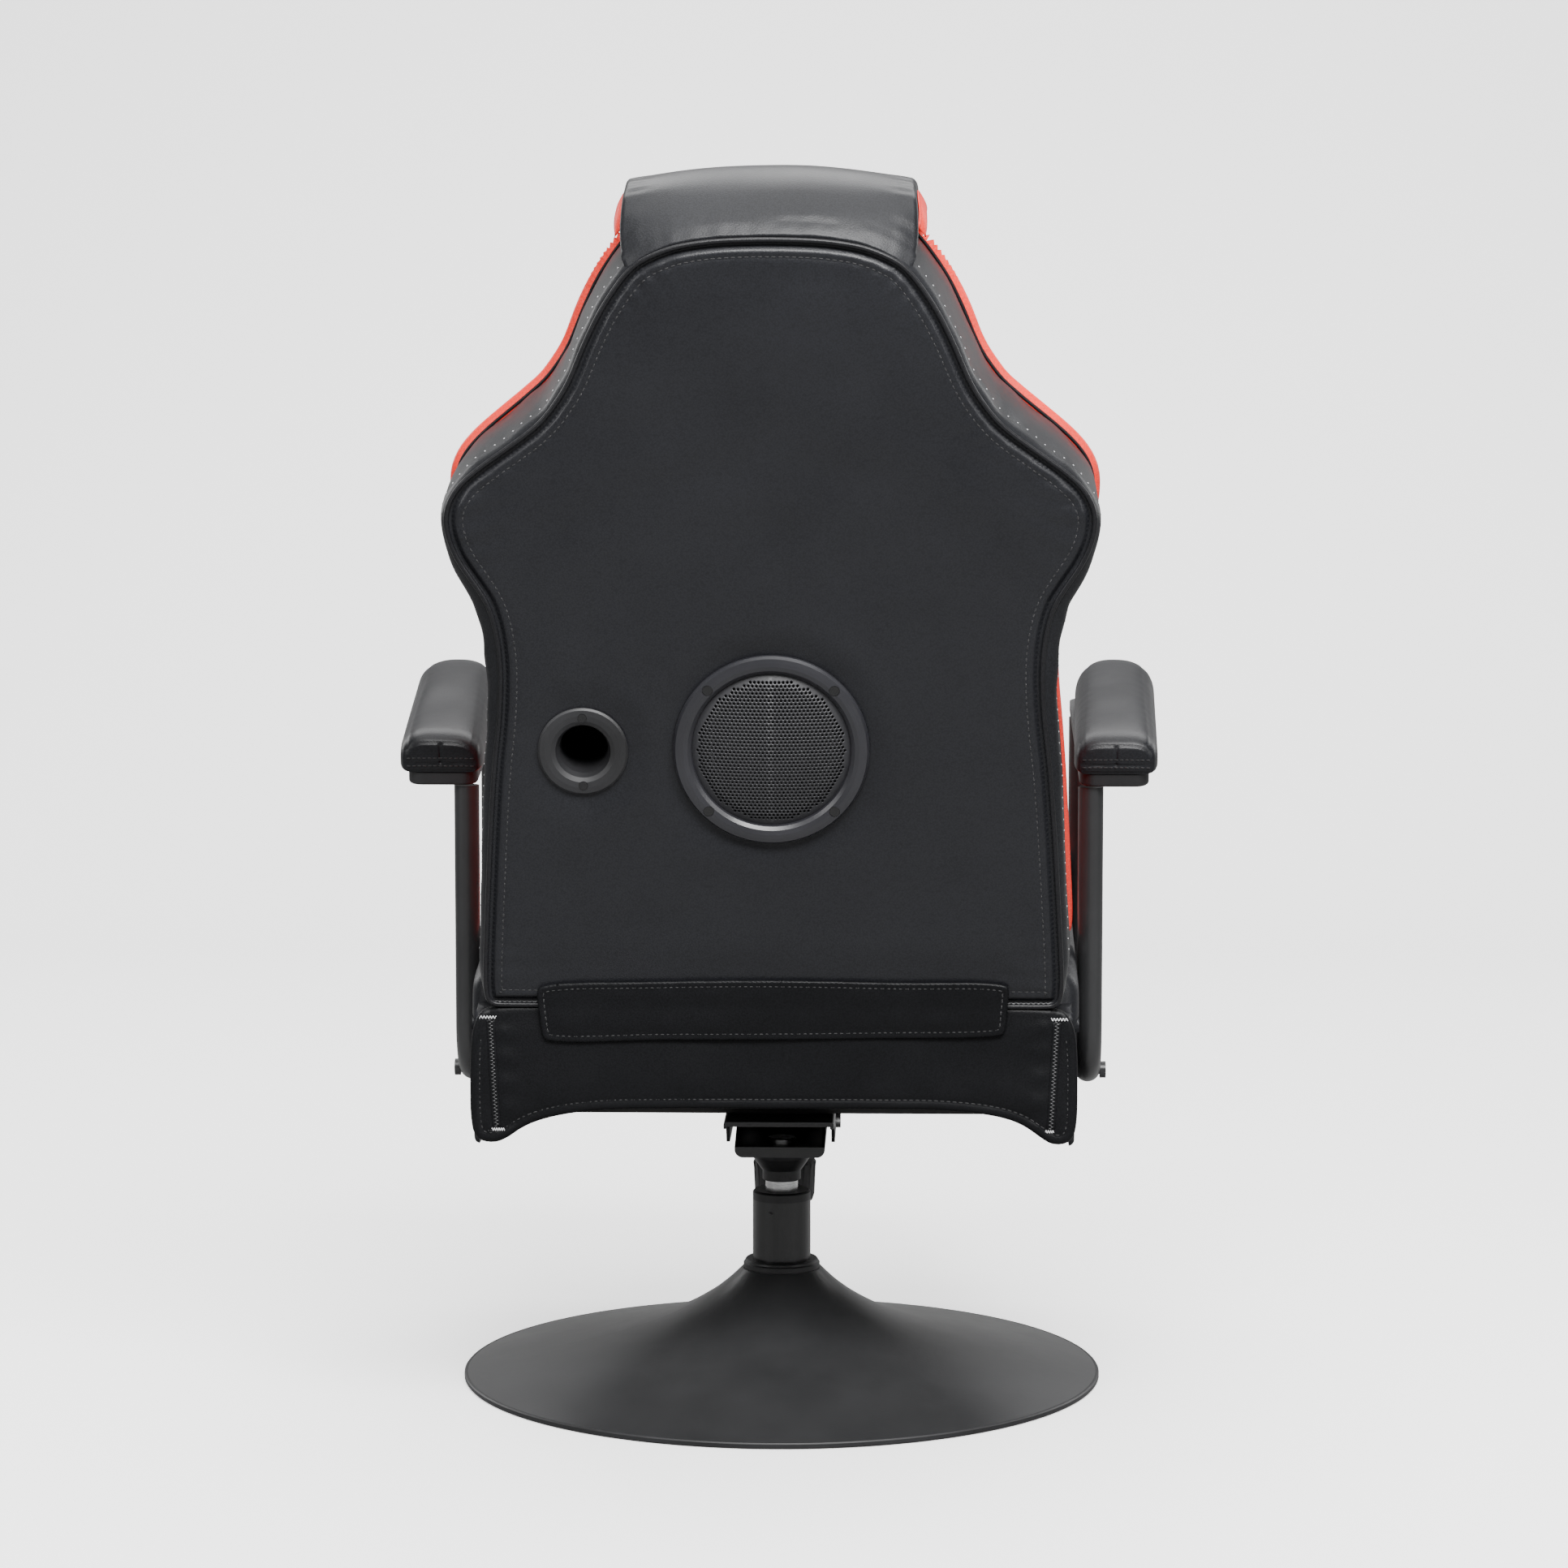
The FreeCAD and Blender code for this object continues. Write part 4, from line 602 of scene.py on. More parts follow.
def stitches(name, path, normal, pitch, length, radius, mat, body, slot, sink=0.35):
    """Real stitches: small rounded beads laid along a line, half sunk in the cover."""
    path = np.asarray(path, float)
    normal = np.asarray(normal, float)
    seg = np.linalg.norm(np.diff(path, axis=0), axis=1)
    arc = np.concatenate([[0], np.cumsum(seg)])
    count = int(arc[-1] / pitch)
    verts, faces = [], []
    ring = 6
    for k in range(count):
        mid = (k + 0.5) * arc[-1] / count
        ends = []
        nn = []
        for s in (mid - length / 2, mid - length * 0.3, mid + length * 0.3, mid + length / 2):
            p = np.array([np.interp(s, arc, path[:, c]) for c in range(3)])
            q = np.array([np.interp(s, arc, normal[:, c]) for c in range(3)])
            q /= np.linalg.norm(q)
            ends.append(p)
            nn.append(q)
        t = ends[3] - ends[0]
        t /= np.linalg.norm(t)
        base = len(verts)
        for p, q, r, dip in zip(ends, nn, (0.35, 1.0, 1.0, 0.35), (-0.9, 0, 0, -0.9)):
            b = np.cross(t, q)
            c = p + q * radius * (1 - 2 * sink + dip)
            for j in range(ring):
                a = 2 * math.pi * j / ring
                verts.append(c + (b * math.cos(a) * 1.1 + q * math.sin(a)) * radius * r)
        for s in range(3):
            for j in range(ring):
                j2 = (j + 1) % ring
                faces.append((base + s * ring + j, base + s * ring + j2, base + (s + 1) * ring + j2, base + (s + 1) * ring + j))
        faces.append(tuple(base + j for j in range(ring))[::-1])
        faces.append(tuple(base + 3 * ring + j for j in range(ring)))
    if not verts:
        return None
    return make(name, verts, faces, mat, body, slot)


def side_strip(name, lines, mat, body, slot, closed=False):
    """A surface lofted over lines of points, each line running along the strip."""
    lines = [np.asarray(l, float) for l in lines]
    n, m = len(lines), len(lines[0])
    verts = np.vstack(lines)
    return outward(make(name, verts, grid_faces(n, m, False, closed), mat, body, slot))


def solid_from(name, verts, faces, mat, body, slot, **kw):
    return outward(make(name, verts, faces, mat, body, slot, **kw))


# ------------------------------------------------------------------ backrest frame

LEAN = math.radians(12.0)
COS, SIN = math.cos(LEAN), math.sin(LEAN)


def back(x, d, s):
    """Backrest coordinates in mm (across, rearward, up the panel) to scene metres."""
    x, d, s = np.broadcast_arrays(np.asarray(x, float), np.asarray(d, float), np.asarray(s, float))
    return np.stack([x * MM, (245 + d * COS + s * SIN) * MM, (364 - d * SIN + s * COS) * MM], axis=-1)


def back_dir(x, d, s):
    v = np.stack(np.broadcast_arrays(np.asarray(x, float), np.asarray(d, float) * COS + np.asarray(s, float) * SIN,
                                     -np.asarray(d, float) * SIN + np.asarray(s, float) * COS), axis=-1)
    return v / np.maximum(np.linalg.norm(v, axis=-1, keepdims=True), 1e-9)


HALF = [
    (0, 622.5), (37.4, 621.6), (62.3, 618.4), (74.8, 615.6), (87.3, 610.8), (99.9, 604.5), (109.3, 596),
    (118.8, 583.2), (125.1, 573.7), (131.5, 562.9), (137.9, 550.1), (144.4, 536), (150.9, 520), (157.3, 506.4),
    (163.8, 496.1), (176.6, 479.3), (189.4, 468.3), (202.2, 458.9), (215, 449.8), (227.8, 440.4), (240.7, 429.3),
    (247.2, 420.8), (251.2, 412.9), (253.6, 403.8), (252.9, 391.3), (249.4, 378.1), (243.3, 365), (235.9, 353.7),
    (229.1, 343.2), (223.5, 333.9), (219.9, 323.9), (216.9, 311.9), (214.6, 295.3), (213.6, 278.6), (214, 259.8),
    (216.5, 228.1), (220.3, 197.7), (225.3, 134.9), (229.5, 67.4), (232, 22.1), (231.7, 4.6), (229.9, -4.5),
]
FLOOR_S = -4.5


def back_loop(step=4.0):
    """Closed outline of the rear panel, clockwise from the top centre."""
    right = smooth_loop(catmull(HALF, per=6), 4, closed=False)
    left = right[::-1][:-1] * np.array([-1, 1])
    bottom = np.array([(x, FLOOR_S) for x in np.linspace(226, -226, 40)])
    loop = np.vstack([right, bottom, left[:-1]])
    return resample(smooth_loop(loop, 2), step, True)


def offset_loop(loop, off, smooth=3):
    n = normals2(loop)
    off = np.broadcast_to(np.asarray(off, float), (len(loop),))
    return smooth_loop(loop + n * off[:, None], smooth)


# ------------------------------------------------------------------ rear panel

LOOP = back_loop(4.0)
WOOFER = np.array([0.0, 213.0])
PORT = np.array([150.0, 211.0])


def ring2(c, r, n):
    a = np.linspace(0, 2 * math.pi, n, endpoint=False)
    return np.stack([c[0] + r * np.cos(a), c[1] + r * np.sin(a)], axis=1)


def panel_height(p):
    """How far the padded rear panel stands out from its board, in mm."""
    dist, _ = dist_to(LOOP, p)
    x, s = p[:, 0], p[:, 1]
    h = 1.3 - 4.3 * np.exp(-(((dist - 3.2) / 2.6) ** 2))
    h += 1.2 * smoothstep(3, 11, dist)
    h -= 0.9 * np.exp(-(((dist - 12.5) / 1.3) ** 2))
    h += 2.2 * smoothstep(13, 60, dist)
    h += 1.1 * smoothstep(20, 90, dist) * waves(x, s * 0.7, 190, 11)
    h += 0.45 * smoothstep(14, 40, dist) * waves(x, s, 60, 12)
    # puckers run in from the seam, strongest at the shoulder tips and top corners
    tight = np.exp(-(((np.abs(x) - 240) / 46) ** 2 + ((s - 405) / 46) ** 2))
    tight += 0.8 * np.exp(-(((np.abs(x) - 112) / 40) ** 2 + ((s - 588) / 40) ** 2))
    tight += 0.5 * np.exp(-(((np.abs(x) - 172) / 34) ** 2 + ((s - 482) / 34) ** 2))
    tight += 0.45 * np.exp(-(((np.abs(x) - 222) / 40) ** 2 + ((s - 20) / 40) ** 2))
    tight = np.clip(tight, 0, 1)
    ang = np.arctan2(s - np.where(s > 300, 500, 60) * 0.86, x)
    puck = np.sin(ang * 74 + 2.2 * waves(x, s, 120, 13))
    h += tight * 0.95 * puck * smoothstep(2, 12, dist) * (1 - smoothstep(24, 62, dist))
    # slow fan of tension lines from the shoulders toward the middle
    fan = np.sin((s * 0.09 + np.abs(x) * 0.045) + 1.4 * waves(x, s, 260, 14))
    h += 0.7 * fan * smoothstep(30, 80, dist) * np.exp(-(((s - 455) / 62) ** 2))
    # flat where the ring and the flange are screwed down
    for c, r in ((WOOFER, 80.0), (PORT, 38.0)):
        rr = np.linalg.norm(p - c, axis=1)
        w = 1 - smoothstep(r - 4, r + 26, rr)
        h = h * (1 - w) + 0.15 * w
        h += 0.7 * np.exp(-(((rr - (r + 10)) / 9) ** 2)) * (0.5 + 0.5 * np.sin(np.arctan2(s - c[1], x - c[0]) * 9 + 1.0))
    return h


v2, f2 = flat_patch(LOOP, [1.0, 2.0, 3.2, 4.6, 6.5, 8.8, 11.4, 12.5, 13.8, 17.5, 22.5], 5.0,
                    [ring2(WOOFER, 69.0, 96), ring2(PORT, 26.0, 48)])
h2 = panel_height(v2)
rear = back(v2[:, 0], h2, v2[:, 1])
back_face = back(v2[:, 0], -6.0, v2[:, 1])
n_v = len(v2)


def border_edges(faces):
    seen = {}
    for f in faces:
        for a, b in ((f[0], f[1]), (f[1], f[2]), (f[2], f[0])):
            k = (min(a, b), max(a, b))
            seen.setdefault(k, []).append((a, b))
    return [v[0] for v in seen.values() if len(v) == 1]


edges = border_edges(f2)
faces = [tuple(f) for f in f2] + [tuple(i + n_v for i in f[::-1]) for f in f2]
faces += [(b, a, a + n_v, b + n_v) for a, b in edges]
# the rear panel's cover uses the lighter leather, with painted light in its colour
panel = solid_from("rear_panel_cover", np.vstack([rear, back_face]), faces, PANEL_LEATHER_PAINTED_LIGHT, "seat", "black_cover")
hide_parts("back_rear_panel")

# ------------------------------------------------------------------ piping round the rear panel

pipe_line = offset_loop(LOOP, 0.6, 2)
pipe_line = pipe_line[pipe_line[:, 1] > -60]
piping = tube("rear_piping", back(pipe_line[:, 0], 0.4, pipe_line[:, 1]), 2.1 * MM, PIPING_BLACK, "seat", "black_cover",
              closed=True, segs=10)

# dashed topstitch inside the groove
top_line = offset_loop(LOOP, -12.5, 3)
open_line = resample(np.vstack([top_line, top_line[:1]]), 1.5)
line3 = back(open_line[:, 0], panel_height(open_line) + 0.05, open_line[:, 1])
nrm3 = np.repeat(back_dir(0, 1, 0)[None], len(line3), axis=0)
stitches("rear_topstitch", line3, nrm3, 5.2 * MM, 3.7 * MM, 0.42 * MM, THREAD_BLACK, "seat", "black_cover", sink=0.3)

# ------------------------------------------------------------------ gusset round the backrest


def around(table_s, table_v, loop):
    order = np.argsort(table_s)
    return np.interp(loop[:, 1], np.array(table_s, float)[order], np.array(table_v, float)[order])


G_LOOP = resample(LOOP, 4.0, True)
b_roll = around([-5, 30, 150, 230, 290, 345, 372, 400, 430, 470, 560, 622], [3.5, 7, 8, 11, 14, 12.5, 8, 5.5, 5, 6, 6, 6.5], G_LOOP)
b_front = around([-5, 30, 200, 290, 350, 400, 430, 470, 560, 622], [4, 7.5, 8.5, 11, 7, 2.5, 3, 8, 9, 8], G_LOOP)
arc_g = np.concatenate([[0], np.cumsum(np.linalg.norm(np.diff(G_LOOP, axis=0), axis=1))])
stations = [0.0, 1.2, 3, 6, 9, 13, 18, 24, 32, 42, 54, 66, 78, 90, 100, 108, 113, 117, 119.5, 121]
waist = np.exp(-(((G_LOOP[:, 1] - 320) / 70) ** 2)) + 0.8 * np.exp(-(((G_LOOP[:, 1] - 470) / 60) ** 2))
lines = []
for u in stations:
    k = smoothstep(0, 11, np.full(1, u))[0]
    w = min(1.0, max(0.0, (u - 12) / 109))
    off = 0.9 + (b_roll - 0.9) * math.sqrt(max(k, 0)) if u < 12 else b_roll + (b_front - b_roll) * w
    off = off + (2.0 * math.sin(math.pi * w) if u >= 12 else 0)
    # gathers run in from both seams and die out half way
    g = np.sin(arc_g * 0.145 + 1.9 * waves(arc_g, arc_g * 0, 210, 21)) * np.exp(-(((u - 22) / 17) ** 2))
    g += np.sin(arc_g * 0.118 + 2.1 * waves(arc_g, arc_g * 0, 240, 22)) * np.exp(-(((u - 104) / 16) ** 2))
    off = off + (0.35 + 0.85 * waist) * g
    off = off + 0.9 * waves(arc_g, arc_g * 0 + u * 1.3, 150, 23) * math.sin(math.pi * min(1, u / 121)) * 1.2
    # the front seam, a groove a little in from the band's front edge
    off = off - 1.5 * math.exp(-(((u - 117.8) / 2.0) ** 2))
    loop = offset_loop(G_LOOP, off, 3)
    lines.append(back(loop[:, 0], -u, loop[:, 1]))
inner_front = offset_loop(G_LOOP, -4.0, 2)
lines.append(back(inner_front[:, 0], -121.0, inner_front[:, 1]))
lines.append(back(inner_front[:, 0], -7.0, inner_front[:, 1]))
rear_in = offset_loop(G_LOOP, -1.2, 2)
lines.append(back(rear_in[:, 0], -1.4, rear_in[:, 1]))
m = len(G_LOOP)
gusset = solid_from("backrest_side_band", np.vstack(lines), grid_faces(len(lines), m, True, True), BLACK_LEATHER_SOFT,
                    "seat", "black_cover_padded")
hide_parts("back_foam_core")

# white lock stitches a little way round from the rear piping
k16 = stations.index(18)
gl = lines[k16] * 1.0
gn = np.cross(np.roll(lines[k16], -1, 0) - np.roll(lines[k16], 1, 0), lines[k16 + 1] - lines[k16 - 1])
gn /= np.linalg.norm(gn, axis=1)[:, None]
centre3 = back(0, -18, 300)
flip = np.sign(np.sum(gn * (gl - centre3), axis=1))
gn *= flip[:, None]
vis = G_LOOP[:, 1] > 30
start = int(np.argmax(~vis))
gl_open = np.roll(gl, -start, 0)
gn_open = np.roll(gn, -start, 0)
vis_open = np.roll(vis, -start)
gl_open, gn_open = gl_open[vis_open], gn_open[vis_open]
stitches("side_band_stitches", gl_open, gn_open, 9.2 * MM, 1.5 * MM, 0.3 * MM, THREAD_WHITE, "seat", "black_cover_padded", sink=0.25)

# ------------------------------------------------------------------ cushions from patches


def closed_patch(name, loop, insets, spacing, front, back_fn, mat, body, slot, holes=()):
    """Closed cushion: a raised face on one side of a flat outline and a plain one on the other."""
    v, f = flat_patch(loop, insets, spacing, holes)
    a = front(v)
    b = back_fn(v)
    n = len(v)
    e = border_edges(f)
    fs = [tuple(t) for t in f] + [tuple(i + n for i in t[::-1]) for t in f]
    fs += [(q, p, p + n, q + n) for p, q in e]
    return solid_from(name, np.vstack([a, b]), fs, mat, body, slot)


EDGE = [0.35, 1.1, 2.4, 4.2, 6.5, 9.5, 13.0, 17.5, 23.0]


def roll_edge(t, radius, bulge):
    """Inset and height (0..1) along a rolled cushion edge, t being the flat distance in from the seam."""
    phi0 = -math.radians(38) if bulge > 0 else 0.0
    phi = phi0 + (math.pi / 2 - phi0) * np.clip(t / radius, 0, 1)
    inset = radius * (1 - np.cos(phi)) - radius * (1 - math.cos(phi0))
    inset = np.where(phi < 0, -np.abs(inset), radius * (1 - np.cos(phi)) - radius * (1 - math.cos(phi0)))
    high = (np.sin(phi) - math.sin(phi0)) / (1 - math.sin(phi0))
    return inset, high


def bolster_loop(k):
    """Outline of one front bolster in panel coordinates, clockwise for k = 1."""
    right = smooth_loop(catmull(HALF, per=6), 4, closed=False)
    right = right[(right[:, 1] < 612) & (right[:, 1] > 8)]
    out = around([-5, 30, 200, 290, 350, 400, 430, 470, 560, 622], [5, 8, 9, 11.5, 7.5, 3.2, 4, 8.8, 9.8, 8.6], right)
    t = np.gradient(right, axis=0)
    n = np.stack([-t[:, 1], t[:, 0]], axis=1)
    n /= np.linalg.norm(n, axis=1)[:, None]
    n *= np.where(n[:, 0] < 0, -1, 1)[:, None]
    right = smooth_loop(right + n * out[:, None], 3, closed=False)
    inner = np.array([(126.5, y) for y in np.arange(8, 468, 5.0)] + [(125.5, 472.0), (118.5, 476.0), (116.8, 484)] +
                     [(116.8, y) for y in np.arange(492, 600, 6.0)])
    inner = inner[inner[:, 1] < right[0, 1] - 4]
    loop = np.vstack([right, inner])
    loop = resample(loop, 4.0, True)
    if k < 0:
        loop = (loop * np.array([-1, 1]))[::-1]
    return loop


def make_back_bolster(side, k):
    loop = bolster_loop(k)
    nrm = normals2(loop)
    ax = np.abs(loop[:, 0])
    is_outer = ~((ax < 128) & (loop[:, 1] < 600) & ~((ax > 117.5) & (loop[:, 1] > 560)))

    def front(v):
        d, idx = dist_to(loop, v)
        outer = is_outer[idx] & is_outer[(idx + 1) % len(loop)]
        x, s = v[:, 0], v[:, 1]
        top_zone = smoothstep(470, 500, s)
        width = np.interp(s, [0, 230, 330, 400, 470, 500, 560, 612], [50, 44, 48, 64, 36, 24, 12, 6])
        rad = np.where(outer, 27.0, 15.0)
        rad = np.minimum(rad, width * 0.9)
        phi0 = np.where(outer, -math.radians(62), -math.radians(4))
        phi = phi0 + (math.pi / 2 - phi0) * np.clip(d / rad, 0, 1)
        inset = np.where(outer, 17.5, rad * 0.62) * (np.cos(phi0) - np.cos(phi))
        high = (np.sin(phi) - np.sin(phi0)) / (1 - np.sin(phi0))
        full = np.interp(s, [6, 60, 230, 330, 400, 470, 520, 590], [31, 37, 39, 36, 33, 26, 17, 11])
        across = np.clip((np.abs(x) - 128) / 95, 0, 1)
        crown = 0.9 + 0.14 * np.sin(math.pi * across)
        h = full * high * crown
        h += 0.9 * waves(x, s, 120, 31 + k) * np.clip(d / 20, 0, 1)
        tight = np.exp(-(((d - 9) / 8) ** 2))
        h += 0.7 * tight * np.sin(s * 0.21 + 1.7 * waves(x * 0, s, 140, 33)) * (0.4 + 0.6 * np.exp(-(((s - 300) / 90) ** 2)))
        h -= 1.6 * np.exp(-(((np.abs(x) - 127 - 0.30 * 95) / 2.2) ** 2)) * (1 - top_zone) * smoothstep(14, 30, d) * 0
        shift = (d - inset)[:, None] * nrm[idx] * (d < rad)[:, None] * np.where(d < rad, 1, 0)[:, None]
        shift *= (1 - np.clip(d / rad, 0, 1) ** 1.5)[:, None]
        p = v + shift
        return back(p[:, 0], -(120.5 + h), p[:, 1])

    ob = closed_patch("back_bolster_cover_" + side, loop, EDGE, 6.0, front, lambda v: back(v[:, 0], -119.2, v[:, 1]),
                      RED_LEATHER, "seat", "red_cover_padded")
    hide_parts("back_bolster_" + side)
    # piping between bolster and band
    outer = loop[is_outer]
    j = int(np.argmax(np.linalg.norm(np.diff(np.vstack([outer, outer[:1]]), axis=0), axis=1)))
    outer = np.roll(outer, -(j + 1), 0)
    line = smooth_loop(outer, 2, closed=False)
    tube("front_piping_" + side, back(line[:, 0], -119.9, line[:, 1]), 1.5 * MM, PIPING_BLACK, "seat", "black_cover_padded")
    return ob


make_back_bolster("left", 1)
make_back_bolster("right", -1)

# ------------------------------------------------------------------ swept cushions


def rounded_profile(pts, radius_step=5.0, times=2, per=6):
    return resample(smooth_loop(catmull(pts, closed=True, per=per), times), radius_step, True)


def end_stations(x0, x1, r0, r1, step):
    a = [x0 + r0 * (1 - math.cos(t)) for t in np.linspace(0, math.pi / 2, 7)] if r0 > 0 else [x0]
    b = [x1 - r1 * (1 - math.cos(t)) for t in np.linspace(0, math.pi / 2, 7)][::-1] if r1 > 0 else [x1]
    n = max(1, int(round((b[0] - a[-1]) / step)))
    mid = np.linspace(a[-1], b[0], n + 1)[1:-1]
    return np.concatenate([a, mid, b])


def sweep_solid(name, prof, xs, inset, to3d, mat, body, slot, hold=None, disp=None):
    """Profile loop swept across x; inset(x) pulls it in toward the ends except where hold is 1."""
    nrm = normals2(prof)
    hold = np.zeros(len(prof)) if hold is None else hold
    rings = []
    arc = np.concatenate([[0], np.cumsum(np.linalg.norm(np.diff(prof, axis=0), axis=1))])
    for x in xs:
        off = -inset(x) * (1 - hold)
        if disp is not None:
            off = off + disp(x, prof, arc) * (1 - hold)
        q = prof + nrm * off[:, None]
        rings.append(to3d(x, q[:, 0], q[:, 1]))
    n, m = len(xs), len(prof)
    verts = np.vstack(rings)
    faces = grid_faces(n, m, False, True)
    for i, x in ((0, xs[0]), (n - 1, xs[-1])):
        off = -inset(x) * (1 - hold)
        if disp is not None:
            off = off + disp(x, prof, arc) * (1 - hold)
        q = prof + nrm * off[:, None]
        res = delaunay_2d_cdt([Vector(p) for p in q], [(a, (a + 1) % m) for a in range(m)], [], 0, 1e-6)
        vv = np.array([tuple(p) for p in res[0]])
        tri = np.array([tuple(t) for t in res[2] if len(t) == 3])
        keep = inside(q, vv[tri].mean(1))
        tri = tri[keep]
        base = i * m
        if len(vv) == m:
            for t in tri:
                faces.append(tuple(base + int(a) for a in (t if i else t[::-1])))
        else:
            faces.append(tuple(base + a for a in (range(m) if i else range(m)[::-1])))
    return solid_from(name, verts, faces, mat, body, slot)


def round_inset(x0, x1, r0, r1):
    def fn(x):
        out = 0.0
        if r0 > 0 and x < x0 + r0:
            t = (x0 + r0 - x) / r0
            out = max(out, r0 * (1 - math.sqrt(max(0.0, 1 - t * t))))
        if r1 > 0 and x > x1 - r1:
            t = (x - (x1 - r1)) / r1
            out = max(out, r1 * (1 - math.sqrt(max(0.0, 1 - t * t))))
        return out
    return fn


# centre of the backrest: sewn channels across
CF = 121.5
centre_prof = rounded_profile(
    [(CF, 6), (CF + 12, 4), (CF + 24, 12), (CF + 31, 40), (CF + 33, 90), (CF + 35.5, 150), (CF + 35, 210), (CF + 31, 280),
     (CF + 29, 350), (CF + 28.5, 420), (CF + 23, 455), (CF + 12, 467), (CF, 468), (CF, 350), (CF, 230), (CF, 110)], 3.0, 1)
hold_c = (centre_prof[:, 0] < CF + 1.2).astype(float)


def channels(pitch, depth, start, axis, lo, hi, gathers, seed):
    def fn(x, prof, arc):
        a = prof[:, axis]
        ph = (a - start) / pitch
        dip = -depth * np.exp(-((((ph - np.round(ph)) * pitch) / 2.6) ** 2))
        puff = 0.9 * depth * (0.5 + 0.5 * np.cos(2 * math.pi * (ph - 0.5)))
        use = smoothstep(lo - 6, lo + 6, a) * (1 - smoothstep(hi - 6, hi + 6, a))
        g = gathers * np.sin(x * 0.33 + 2.0 * waves(np.full_like(a, x), a, 70, seed)) * np.exp(-((((ph - np.round(ph)) * pitch) / 9) ** 2))
        return use * (dip + puff + g) + 0.7 * waves(np.full_like(a, x), a, 150, seed + 1)
    return fn


cx = end_stations(-126, 126, 11, 11, 4.0)
cc = sweep_solid("back_centre_cover", centre_prof, cx, round_inset(-126, 126, 11, 11), lambda x, d, s: back(x, -d, s),
                 BLACK_LEATHER_SOFT, "seat", "black_cover_padded", hold_c, channels(57, 3.6, 60, 1, 40, 430, 0.45, 41))
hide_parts("back_center_cushion")

# ------------------------------------------------------------------ headrest

head_prof = rounded_profile(
    [(CF + 0.8, 480), (CF + 12, 473), (CF + 24, 476), (CF + 33, 492), (CF + 37, 530), (CF + 38, 570), (CF + 34, 606),
     (CF + 24, 634), (CF + 6, 652), (102, 661.5), (80, 664.5), (58, 662), (38, 655.5), (22, 646.5), (10, 636.5), (3.2, 628.5),
     (0.4, 624.2), (2.4, 624.6), (9, 629.4), (20, 633.4), (40, 635.6), (62, 635.6), (84, 635.6), (104, 635.6),
     (CF - 2, 634.6), (CF + 0.6, 628), (CF + 0.8, 590), (CF + 0.8, 540)], 3.0, 0, 5)
hold_h = np.clip(((head_prof[:, 0] < CF + 2.0) & (head_prof[:, 1] < 637.0)).astype(float), 0, 1)
hold_h = np.where((head_prof[:, 0] < 7) & (head_prof[:, 1] > 625.6) & (head_prof[:, 1] < 634), 0.6, hold_h)
TOP_X = np.array([p[0] for p in HALF[:12]])
TOP_S = np.array([p[1] for p in HALF[:12]])


def over_top(k, x, u, s, drop=0.0):
    """The wrap follows the panel's top edge at the rear and has its own crown on top."""
    u, s = np.asarray(u, float), np.asarray(s, float)
    rear = 1 - smoothstep(4, 50, u)
    a = np.interp(abs(x), TOP_X, TOP_S) - 622.5
    b = -10.0 * (abs(x) / 109) ** 2.2
    up = smoothstep(560, 640, s)
    shift = (a * rear + b * (1 - rear)) * np.where(u < CF - 3, 1.0, up)
    end = (abs(x) / 109) ** 3
    wide = 1 + 0.034 * np.exp(-(((s - 646) / 18) ** 2)) * end - 0.03 * rear * np.exp(-(((s - 622) / 12) ** 2)) * end
    return back(k * x * wide, -u, s + shift - drop * up)


def head_disp(x, prof, arc):
    u, s = prof[:, 0], prof[:, 1]
    h = 0.8 * waves(np.full_like(s, x), arc[: len(s)], 130, 51)
    pull = math.exp(-(((abs(x) - 103) / 9) ** 2))
    h = h + 0.5 * pull * np.sin(arc[: len(s)] * 0.42 + 1.2 * waves(arc[: len(s)], arc[: len(s)] * 0, 60, 52))
    # the lower seam at the panel's piping draws small folds
    low = np.exp(-(((u - 6) / 7) ** 2)) * (s > 624)
    h = h + 0.45 * low * np.sin(x * 0.36 + 1.5 * waves(np.full_like(s, x), s * 0, 60, 54))
    return h


band_half = 111.5
hx = end_stations(-band_half, band_half, 3.2, 3.2, 4.0)
band = sweep_solid("headrest_band", head_prof, hx, round_inset(-band_half, band_half, 3.2, 3.2),
                   lambda x, d, s: over_top(1, x, d, s), BLACK_LEATHER_SOFT, "seat", "black_cover_padded", hold_h, head_disp)
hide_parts("headrest_pad")
side_prof = rounded_profile(
    [(CF + 0.8, 480), (CF + 11, 474), (CF + 22, 477), (CF + 31, 492), (CF + 35, 530), (CF + 36, 570), (CF + 32, 606),
     (CF + 22, 632), (CF + 5, 649), (104, 657), (84, 658), (66, 654), (54, 645), (50, 637), (56, 635.8), (70, 635.6), (84, 635.6),
     (104, 635.6), (CF - 2, 634.6), (CF + 0.6, 628), (CF + 0.8, 590), (CF + 0.8, 540)], 3.0, 0, 5)
hold_side = ((side_prof[:, 0] < CF + 2.0) & (side_prof[:, 1] < 637.0)).astype(float)
for side, k in (("left", 1), ("right", -1)):
    lo, hi = band_half + 0.1, 117.5
    xs = end_stations(lo, hi, 2.0, 6.0, 2.0) * 1.0
    ob = sweep_solid("headrest_side_" + side, side_prof, xs, lambda x, lo=lo, hi=hi: 0.6 + round_inset(lo, hi, 2.0, 6.0)(x),
                     lambda x, d, s, k=k: over_top(k, x, d, s, 1.2 * max(0.0, x - 109.0)),
                     RED_LEATHER, "seat", "red_cover_padded", hold_side,
                     lambda x, prof, arc: 0.6 * waves(np.full(len(prof), x), arc[: len(prof)], 90, 53))

# ------------------------------------------------------------------ seat cushions


def yz(x, y, z):
    x, y, z = np.broadcast_arrays(np.asarray(x, float), np.asarray(y, float), np.asarray(z, float))
    return np.stack([x * MM, y * MM, z * MM], axis=-1)


